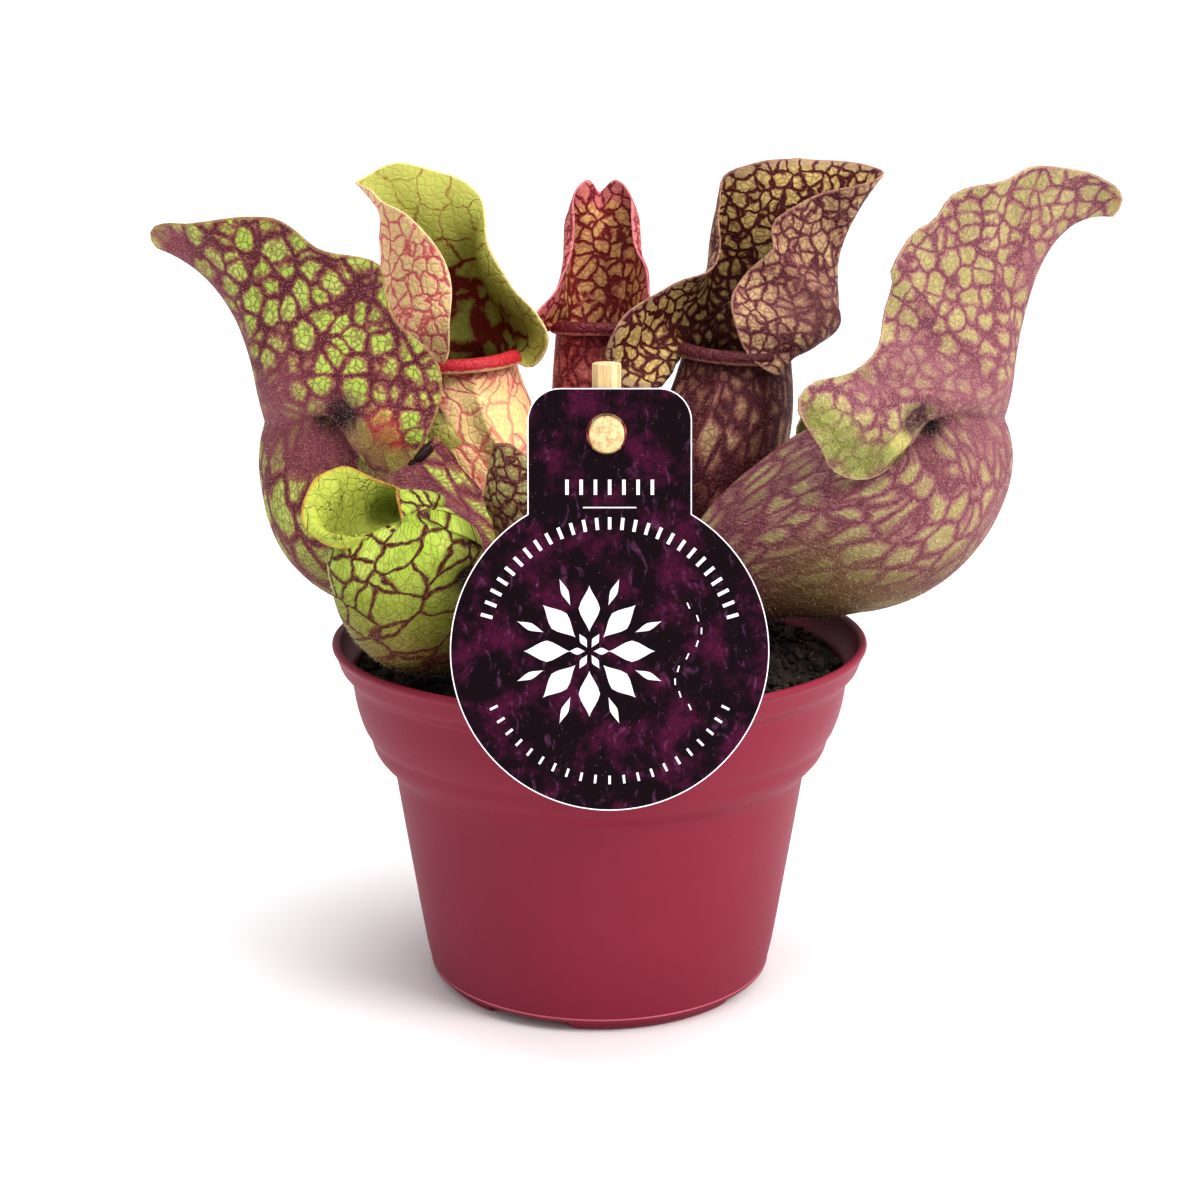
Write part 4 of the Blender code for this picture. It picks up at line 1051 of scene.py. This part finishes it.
class PLANT_OT_pot(bpy.types.Operator):
    """Turns the nursery pot, with its rolled rim, steps, foot ring and drain holes"""
    bl_idname = "plant.pot"
    bl_label = "Nursery Pot"

    def execute(self, context):
        r, h = RIM_RADIUS, POT_HEIGHT
        outside = [
            (FOOT_INNER, FOOT_HEIGHT), (FOOT_OUTER, FOOT_HEIGHT), (38.8, FOOT_HEIGHT), (39.2, 2.8),
            (39.3, 3.4), (39.2, 3.9), (40.1, 6.9), (42.4, 21.8), (44.7, 36.6), (46.2, 46.4),
            (46.6, 49.5), (47.0, 50.4), (48.6, 52.0), (50.6, 54.2), (51.5, 56.0), (51.8, 57.4),
            (52.0, 58.7), (52.9, 59.7), (53.5, 61.0), (54.2, 63.0), (55.0, 65.9), (55.5, 69.5),
            (55.7, 71.8), (56.3, 72.9), (57.8, 73.9), (58.4, 75.0), (59.0, 77.0), (59.4, 78.2),
            (r - 0.1, 78.6), (r, 79.1), (r - 0.15, 79.6), (r - 0.6, h),
        ]
        inside = [
            (r - 1.3, h - 0.05), (r - 1.8, h - 0.5), (r - 2.0, 78.0), (57.0 - 0.3, 75.4),
            (55.3, 74.4), (54.5, 73.2), (54.2, 70.5), (52.2, 62.0), (51.4, 60.9), (50.6, 59.8),
            (50.1, 56.9), (45.6, 50.9), (45.1, 49.0), (41.0, 21.8), (38.6, 6.9), (38.0, 4.6),
            (37.0, 3.9), (34.0, 3.8), (20.0, 3.8), (4.0, 3.8),
        ]
        under = [(4.0, FOOT_HEIGHT), (20.0, FOOT_HEIGHT)]
        pot = turned("nursery_pot", outside + inside + under + [outside[0]], 128)
        close_up()

        def in_foot(middle, normal):
            radius, angle = math.hypot(*middle[:2]), math.degrees(math.atan2(middle[1], middle[0]))
            on_ring = middle[2] < FOOT_HEIGHT + 0.1 and FOOT_INNER < radius < FOOT_OUTER
            return on_ring and (angle - FOOT_START) % 90 < FOOT_SPAN

        pick_faces(pot, in_foot)
        bpy.ops.mesh.extrude_region_move(TRANSFORM_OT_translate={"value": (0, 0, -FOOT_HEIGHT * MM)})
        bpy.ops.object.mode_set(mode="OBJECT")
        apply_modifier(pot, "SUBSURF", levels=1, render_levels=1)
        for k in range(DRAIN_HOLES):
            angle = 2 * math.pi * (k + 0.5) / DRAIN_HOLES
            at = on_axis(DRAIN_CIRCLE * math.cos(angle), DRAIN_CIRCLE * math.sin(angle), 3)
            drill(pot, DRAIN_RADIUS, 8, at, 32)
        pot.data.materials.append(pot_finish(colours().pot))
        settle(pot)
        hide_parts("pot")
        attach(pot, "root")
        return {"FINISHED"}


class PLANT_OT_peat(bpy.types.Operator):
    """Fills the pot with peat: a lumpy bed, loose crumbs and pale fibres"""
    bl_idname = "plant.peat"
    bl_label = "Peat"

    def execute(self, context):
        sides = [(2, SOIL_FLOOR), (37.0, SOIL_FLOOR), (38.2, 7.5), (44.6, 49.0), (49.6, 57.0), (53.6, 70.0),
                 (53.9, 73.4)]
        top = [(54 - 1.2 * k, SOIL_LEVEL + SOIL_RISE * smooth_step(0, 30, 1.2 * k)) for k in range(44)]
        bed = turned("peat_bed", sides + top, 160)
        close_up()
        bpy.ops.mesh.select_non_manifold()
        bpy.ops.mesh.edge_face_add()
        bpy.ops.object.mode_set(mode="OBJECT")
        for vertex in bed.data.vertices:
            point = np.array(bed.matrix_world @ vertex.co) / MM - AXIS
            if point[2] > SOIL_LEVEL - 0.3:
                clod, crumb = noise.fractal(Vector(point) / 7, 0.7, 2.2, 4), noise.noise(Vector(point) / 2)
                vertex.co.z += (clod * 1.3 + crumb * 0.5 - 0.6) * MM
        bed.data.materials.append(peat_finish(colours().peat))
        settle(bed, 80)
        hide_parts("soil")
        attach(bed, "root")
        draw = random.Random(5)
        deselect()
        bpy.ops.mesh.primitive_ico_sphere_add(subdivisions=1, radius=1, location=(0, 0, 0))
        crumb = started("crumb_pattern")
        for vertex in crumb.data.vertices:
            vertex.co *= draw.uniform(0.7, 1.2)
        places = []
        for _ in range(sizes().crumb_count):
            angle, radius = draw.uniform(0, 2 * math.pi), 53.2 * math.sqrt(draw.uniform(0.16, 1))
            size = draw.choice((0.5, 0.6, 0.7, 0.9, 1.2, 1.7)) * draw.uniform(0.7, 1.2)
            height = SOIL_LEVEL + 0.2 + draw.uniform(-0.4, 0.7)
            point = (radius * math.cos(angle), radius * math.sin(angle), height)
            axis = [draw.gauss(0, 1) for _ in range(3)]
            shape = [size * draw.uniform(0.6, 1.2) for _ in range(3)]
            places.append((np.array(point), facing(axis, draw.uniform(0, 6), shape)))
        crumbs = scatter("peat_crumbs", crumb, places)
        crumbs.data.materials.append(bed.data.materials[0])
        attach(crumbs, "root")
        deselect()
        bpy.ops.mesh.primitive_cone_add(vertices=4, radius1=1, radius2=0.4, depth=1, location=(0, 0, 0))
        fibre = started("fibre_pattern")
        places = []
        for _ in range(sizes().fibre_count):
            angle, radius = draw.uniform(0, 2 * math.pi), draw.uniform(27, 50)
            height = SOIL_LEVEL + 1 + draw.uniform(-0.2, 0.6)
            point = (radius * math.cos(angle), radius * math.sin(angle), height)
            axis = (draw.gauss(0, 1), draw.gauss(0, 1), draw.gauss(0, 0.15))
            places.append((np.array(point), facing(axis, 0, (0.11, 0.11, draw.uniform(1.6, 4.6)))))
        fibres = scatter("peat_fibres", fibre, places)
        fibres.data.materials.append(plain_finish("peat_fibre", (150, 112, 74), (92, 62, 38), 600, 0.7))
        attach(fibres, "root")
        return {"FINISHED"}


class PLANT_OT_crown(bpy.types.Operator):
    """Shapes the knobbly crown that the leaves grow from"""
    bl_idname = "plant.crown"
    bl_label = "Crown"

    def execute(self, context):
        deselect()
        bpy.ops.mesh.primitive_uv_sphere_add(segments=64, ring_count=32, radius=CROWN_RADIUS * MM,
                                             location=on_axis(0, 0, CROWN_HEIGHT))
        crown = started("crown")
        for vertex in crown.data.vertices:
            vertex.co.z *= CROWN_FLATNESS
            point = Vector(vertex.co) / MM
            swell = 1 + 0.1 * noise.fractal(point / 6, 0.6, 2, 3)
            vertex.co.xy = vertex.co.xy * swell
            vertex.co.z = min(vertex.co.z + noise.noise(point / 3) * 0.4 * MM, 3.5 * MM)
        crown.data.materials.append(plain_finish("crown_bark", (96, 58, 42), (46, 26, 20), 500, 0.7, 0.4))
        settle(crown, 80)
        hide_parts("rhizome")
        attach(crown, "root")
        return {"FINISHED"}


def card_frame():
    """The card's own frame: X across, Y up the card, Z its normal towards its printed face, in mm."""
    foot = Vector((CARD["x"], -RIM_RADIUS - GAP, CARD["foot"]))
    head_y = STAKE_LOW[1] - AXIS[1] - GAP
    lean = math.asin((head_y - foot.y) / CARD["top"])
    up = Vector((0, math.sin(lean), math.cos(lean)))
    normal = Vector((1, 0, 0)).cross(up)
    turn = Matrix((Vector((1, 0, 0)), up, normal)).transposed().to_4x4()
    return Matrix.Translation(foot) @ turn


def arc(x, y, radius, start, span, steps):
    """Points on an arc, with its angles in radians."""
    angles = [start + span * k / steps for k in range(steps + 1)]
    return [(x + radius * math.cos(angle), y + radius * math.sin(angle)) for angle in angles]


def card_outline():
    """The card's outline: a disc that is open at its neck, and the neck's two round corners."""
    meet = math.asin(CARD["neck"] / CARD["disc"])
    corner_x, corner_y = CARD["neck"] - CARD["corner"], CARD["top"] - CARD["corner"]
    points = arc(0, CARD["disc_centre"], CARD["disc"], math.pi / 2 + meet, 2 * math.pi - 2 * meet, 160)
    points += arc(corner_x, corner_y, CARD["corner"], 0, math.pi / 2, 16)
    return points + arc(-corner_x, corner_y, CARD["corner"], math.pi / 2, math.pi / 2, 16)


class PLANT_OT_tag(bpy.types.Operator):
    """Cuts the card tag, with its printed face, white edge, peg hole and plain white ornament"""
    bl_idname = "plant.tag"
    bl_label = "Card Tag"

    def execute(self, context):
        outline = card_outline()
        deselect()
        bpy.ops.mesh.primitive_circle_add(vertices=len(outline), radius=1, fill_type="NGON",
                                          location=(0, 0, 0))
        card = started("card_tag")
        for vertex, (x, y) in zip(card.data.vertices, outline):
            vertex.co = Vector((x, y, 0)) * MM
        edit(card)
        bpy.ops.mesh.select_all(action="SELECT")
        bpy.ops.mesh.extrude_region_move(TRANSFORM_OT_translate={"value": (0, 0, CARD["thickness"] * MM)})
        bpy.ops.mesh.inset(thickness=CARD["edge"] * MM, depth=0)
        bpy.ops.mesh.select_all(action="SELECT")
        bpy.ops.mesh.normals_make_consistent(inside=False)
        bpy.ops.object.mode_set(mode="OBJECT")
        white = paper_finish("card_paper", colours().print_white)
        card.data.materials.append(white)
        card.data.materials.append(card_finish(colours().card))
        biggest = max(card.data.polygons, key=lambda p: p.area + (1 if p.normal.z > 0.9 else 0))
        biggest.material_index = 1
        hole = ((CARD["stake_x"] - CARD["x"]) * MM, CARD["hole_height"] * MM, 0)
        drill(card, CARD["hole"], 6, hole, 64)
        while card.data.uv_layers:
            card.data.uv_layers.remove(card.data.uv_layers[0])
        face = card.data.uv_layers.new(name="face")
        for loop in card.data.loops:
            at = card.data.vertices[loop.vertex_index].co / MM
            face.uv[loop.index].vector = (at.x / 10, at.y / 10)
        lay = card_frame()
        to_metres = Matrix.Translation(Vector(AXIS) * MM) @ Matrix.Scale(MM, 4)
        card.data.transform(to_metres @ lay @ Matrix.Scale(1 / MM, 4))
        card.data.shade_flat()
        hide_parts("tag_card")
        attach(card, "root")
        ornament = tag_ornament(lay)
        ornament.data.materials.append(white)
        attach(ornament, "root")
        return {"FINISHED"}


def tag_ornament(lay):
    """A plain border of ticks and a simple rosette of leaves, printed in white on the card."""
    turn, middle = np.array(lay.to_3x3()), CARD["disc_centre"]
    deselect()
    bpy.ops.mesh.primitive_cube_add(size=1, location=(0, 0, 0))
    bar = started("bar_pattern")
    places = []

    def lay_bar(x, y, angle, wide, tall):
        spin = np.array(Matrix.Rotation(math.radians(angle), 3, "Z"))
        point = np.array(lay @ Vector((x, y, CARD["thickness"] + 0.02)))
        places.append((point, turn @ spin @ np.diag((wide, tall, 0.08))))

    def ring(radius, start, end, count, wide, tall, shift=0):
        for k in range(count + 1):
            angle = start + (end - start) * k / count
            x, y = radius * math.cos(math.radians(angle)), radius * math.sin(math.radians(angle))
            lay_bar(x + shift, middle + y, angle - 90, wide, tall)

    ring(25.2, 16, 164, 26, 0.7, 2.4)
    ring(25.4, 206, 334, 20, 0.5, 1.7)
    for x in (-8.4, -5.6, -2.8, 0, 2.8, 5.6, 8.4):
        lay_bar(x, 45.4, 0, 0.7, 3.0)
    lay_bar(0, 41.4, 0, 10.5, 0.28)
    for k in range(9):
        swing = k * 0.8
        lay_bar(15.5 + 2.6 * math.sin(swing), middle + 9 - 2.5 * k, 24 * math.cos(swing), 0.3, 1.3)
    marks = scatter("tag_marks", bar, places)
    deselect()
    bpy.ops.mesh.primitive_cylinder_add(vertices=24, radius=1, depth=1, location=(0, 0, 0))
    petal = started("petal_pattern")
    for vertex in petal.data.vertices:
        vertex.co.x *= max(1 - abs(vertex.co.y) ** 1.4, 0.02)
    places.clear()
    ring(8.4, 0, 315, 7, 2.1, 4.6, -4)
    ring(12.6, 22.5, 337.5, 7, 0.75, 2.9, -4)
    ring(2.4, 0, 300, 5, 0.7, 1.6, -4)
    rosette = scatter("tag_ornament", petal, places)
    only(rosette)
    marks.select_set(True)
    bpy.ops.object.join()
    return rosette


class PLANT_OT_stake(bpy.types.Operator):
    """Makes the wooden stake and the peg that the card hangs on"""
    bl_idname = "plant.stake"
    bl_label = "Stake and Peg"

    def execute(self, context):
        stake_radius = (STAKE_HIGH[0] - STAKE_LOW[0]) / 2
        height = STAKE_HIGH[2] - STAKE_LOW[2]
        middle = (STAKE_LOW + STAKE_HIGH) / 2
        deselect()
        bpy.ops.mesh.primitive_cylinder_add(vertices=48, radius=stake_radius * MM, depth=height * MM,
                                            location=Vector(middle) * MM)
        stake = started("wood_stake")
        apply_modifier(stake, "BEVEL", width=0.35 * MM, segments=2, limit_method="ANGLE")
        stake.data.materials.append(wood_finish("stake_wood", colours().wood, 2))
        settle(stake)
        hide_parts("tag_stake")
        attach(stake, "root")
        peg_radius = (PEG_HIGH[0] - PEG_LOW[0]) / 2
        middle = (PEG_LOW + PEG_HIGH) / 2
        depth = STAKE_LOW[1] - GAP - PEG_LOW[1]
        middle[1] = PEG_LOW[1] + depth / 2
        deselect()
        bpy.ops.mesh.primitive_cylinder_add(vertices=48, radius=peg_radius * MM, depth=depth * MM,
                                            location=Vector(middle) * MM, rotation=(math.pi / 2, 0, 0))
        peg = started("wood_peg")
        apply_modifier(peg, "BEVEL", width=0.5 * MM, segments=3, limit_method="ANGLE")
        peg.data.materials.append(wood_finish("peg_wood", colours().wood, 1))
        settle(peg)
        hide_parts("tag_peg")
        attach(peg, "root")
        return {"FINISHED"}


class PLANT_OT_stage(bpy.types.Operator):
    """Sets the pale floor, the soft lights and the camera"""
    bl_idname = "plant.stage"
    bl_label = "Stage"

    def execute(self, context):
        deselect()
        bpy.ops.mesh.primitive_plane_add(size=30, location=(0, 0, 0))
        floor = started("floor")
        f = Finish("floor_paint")
        grain = f.noise(f.place(), 60, 2)
        away = f.node("ShaderNodeVectorMath", {"operation": "LENGTH"}, {0: f.place()}, 1)
        floor.data.materials.append(f.feed(
            base_color=f.mix(grain * 0.2, (0.95, 0.95, 0.95, 1), (0.92, 0.92, 0.93, 1)), roughness=0.9,
            emission_color=f.mix(f.step(away, 0.4, 1.5), (0, 0, 0, 1), (1, 1, 1, 1)), emission_strength=0.3,
            specular_ior_level=0.1))
        for name, place, size, power, tint in LAMPS:
            light = bpy.data.lights.new(name, "AREA")
            light.shape, light.size, light.energy, light.color = "DISK", size, power, tint
            lamp = bpy.data.objects.new(name, light)
            lamp.location = place
            lamp.rotation_euler = (Vector(place) - LAMP_TARGET).to_track_quat("Z", "Y").to_euler()
            context.scene.collection.objects.link(lamp)
        world = context.scene.world or bpy.data.worlds.new("studio")
        context.scene.world = world
        world.use_nodes = True
        studio = Nodes(world.node_tree)
        tilt = studio.node("ShaderNodeVectorMath", {"operation": "DOT_PRODUCT"},
                           {0: studio.node("ShaderNodeTexCoord"), 1: SKY_TILT}, 1)
        seen = studio.node("ShaderNodeMath", {"operation": "MAXIMUM"},
                           {0: tilt + SKY_STRENGTH, 1: studio.node("ShaderNodeLightPath")})
        background = world.node_tree.nodes["Background"]
        background.inputs["Color"].default_value = (0.99, 0.995, 1.0, 1)
        studio.connect(background.inputs["Strength"], seen)
        context.scene.view_settings.view_transform = "Standard"
        context.scene.view_settings.gamma = VIEW_GAMMA
        context.scene.view_settings.exposure = VIEW_EXPOSURE
        camera = bpy.data.cameras.new("camera")
        camera.lens, camera.sensor_width = CAMERA_LENS, 36.0
        camera.clip_start = 0.01
        viewer = bpy.data.objects.new("camera", camera)
        viewer.location = on_axis(*CAMERA_AT)
        viewer.rotation_euler = (math.pi / 2 - CAMERA_PITCH, 0, 0)
        context.scene.collection.objects.link(viewer)
        context.scene.camera = viewer
        return {"FINISHED"}


class PLANT_PT_panel(bpy.types.Panel):
    """Lists the plant's pieces with their sizes and colours"""
    bl_idname = "PLANT_PT_panel"
    bl_label = "Pitcher Plant"
    bl_space_type = "VIEW_3D"
    bl_region_type = "UI"
    bl_category = "Pitcher Plant"

    def draw(self, context):
        for group in (context.scene.plant_sizes, context.scene.plant_colours):
            box = self.layout.box()
            for name in group.bl_rna.properties.keys():
                if name not in ("rna_type", "name"):
                    box.prop(group, name)
        for operator in OPERATORS:
            self.layout.operator(operator.bl_idname)


OPERATORS = (PLANT_OT_stage, PLANT_OT_pot, PLANT_OT_peat, PLANT_OT_crown, PLANT_OT_leaves, PLANT_OT_stake,
             PLANT_OT_tag)
CLASSES = (PlantSizes, PlantColours, *OPERATORS, PLANT_PT_panel)


def register():
    for each in CLASSES:
        bpy.utils.register_class(each)
    bpy.types.Scene.plant_sizes = PointerProperty(type=PlantSizes)
    bpy.types.Scene.plant_colours = PointerProperty(type=PlantColours)


def unregister():
    del bpy.types.Scene.plant_colours
    del bpy.types.Scene.plant_sizes
    for each in reversed(CLASSES):
        bpy.utils.unregister_class(each)


def main():
    register()
    bpy.ops.plant.stage()
    bpy.ops.plant.pot()
    bpy.ops.plant.peat()
    bpy.ops.plant.crown()
    bpy.ops.plant.leaves()
    bpy.ops.plant.stake()
    bpy.ops.plant.tag()


if __name__ == "__main__":
    main()
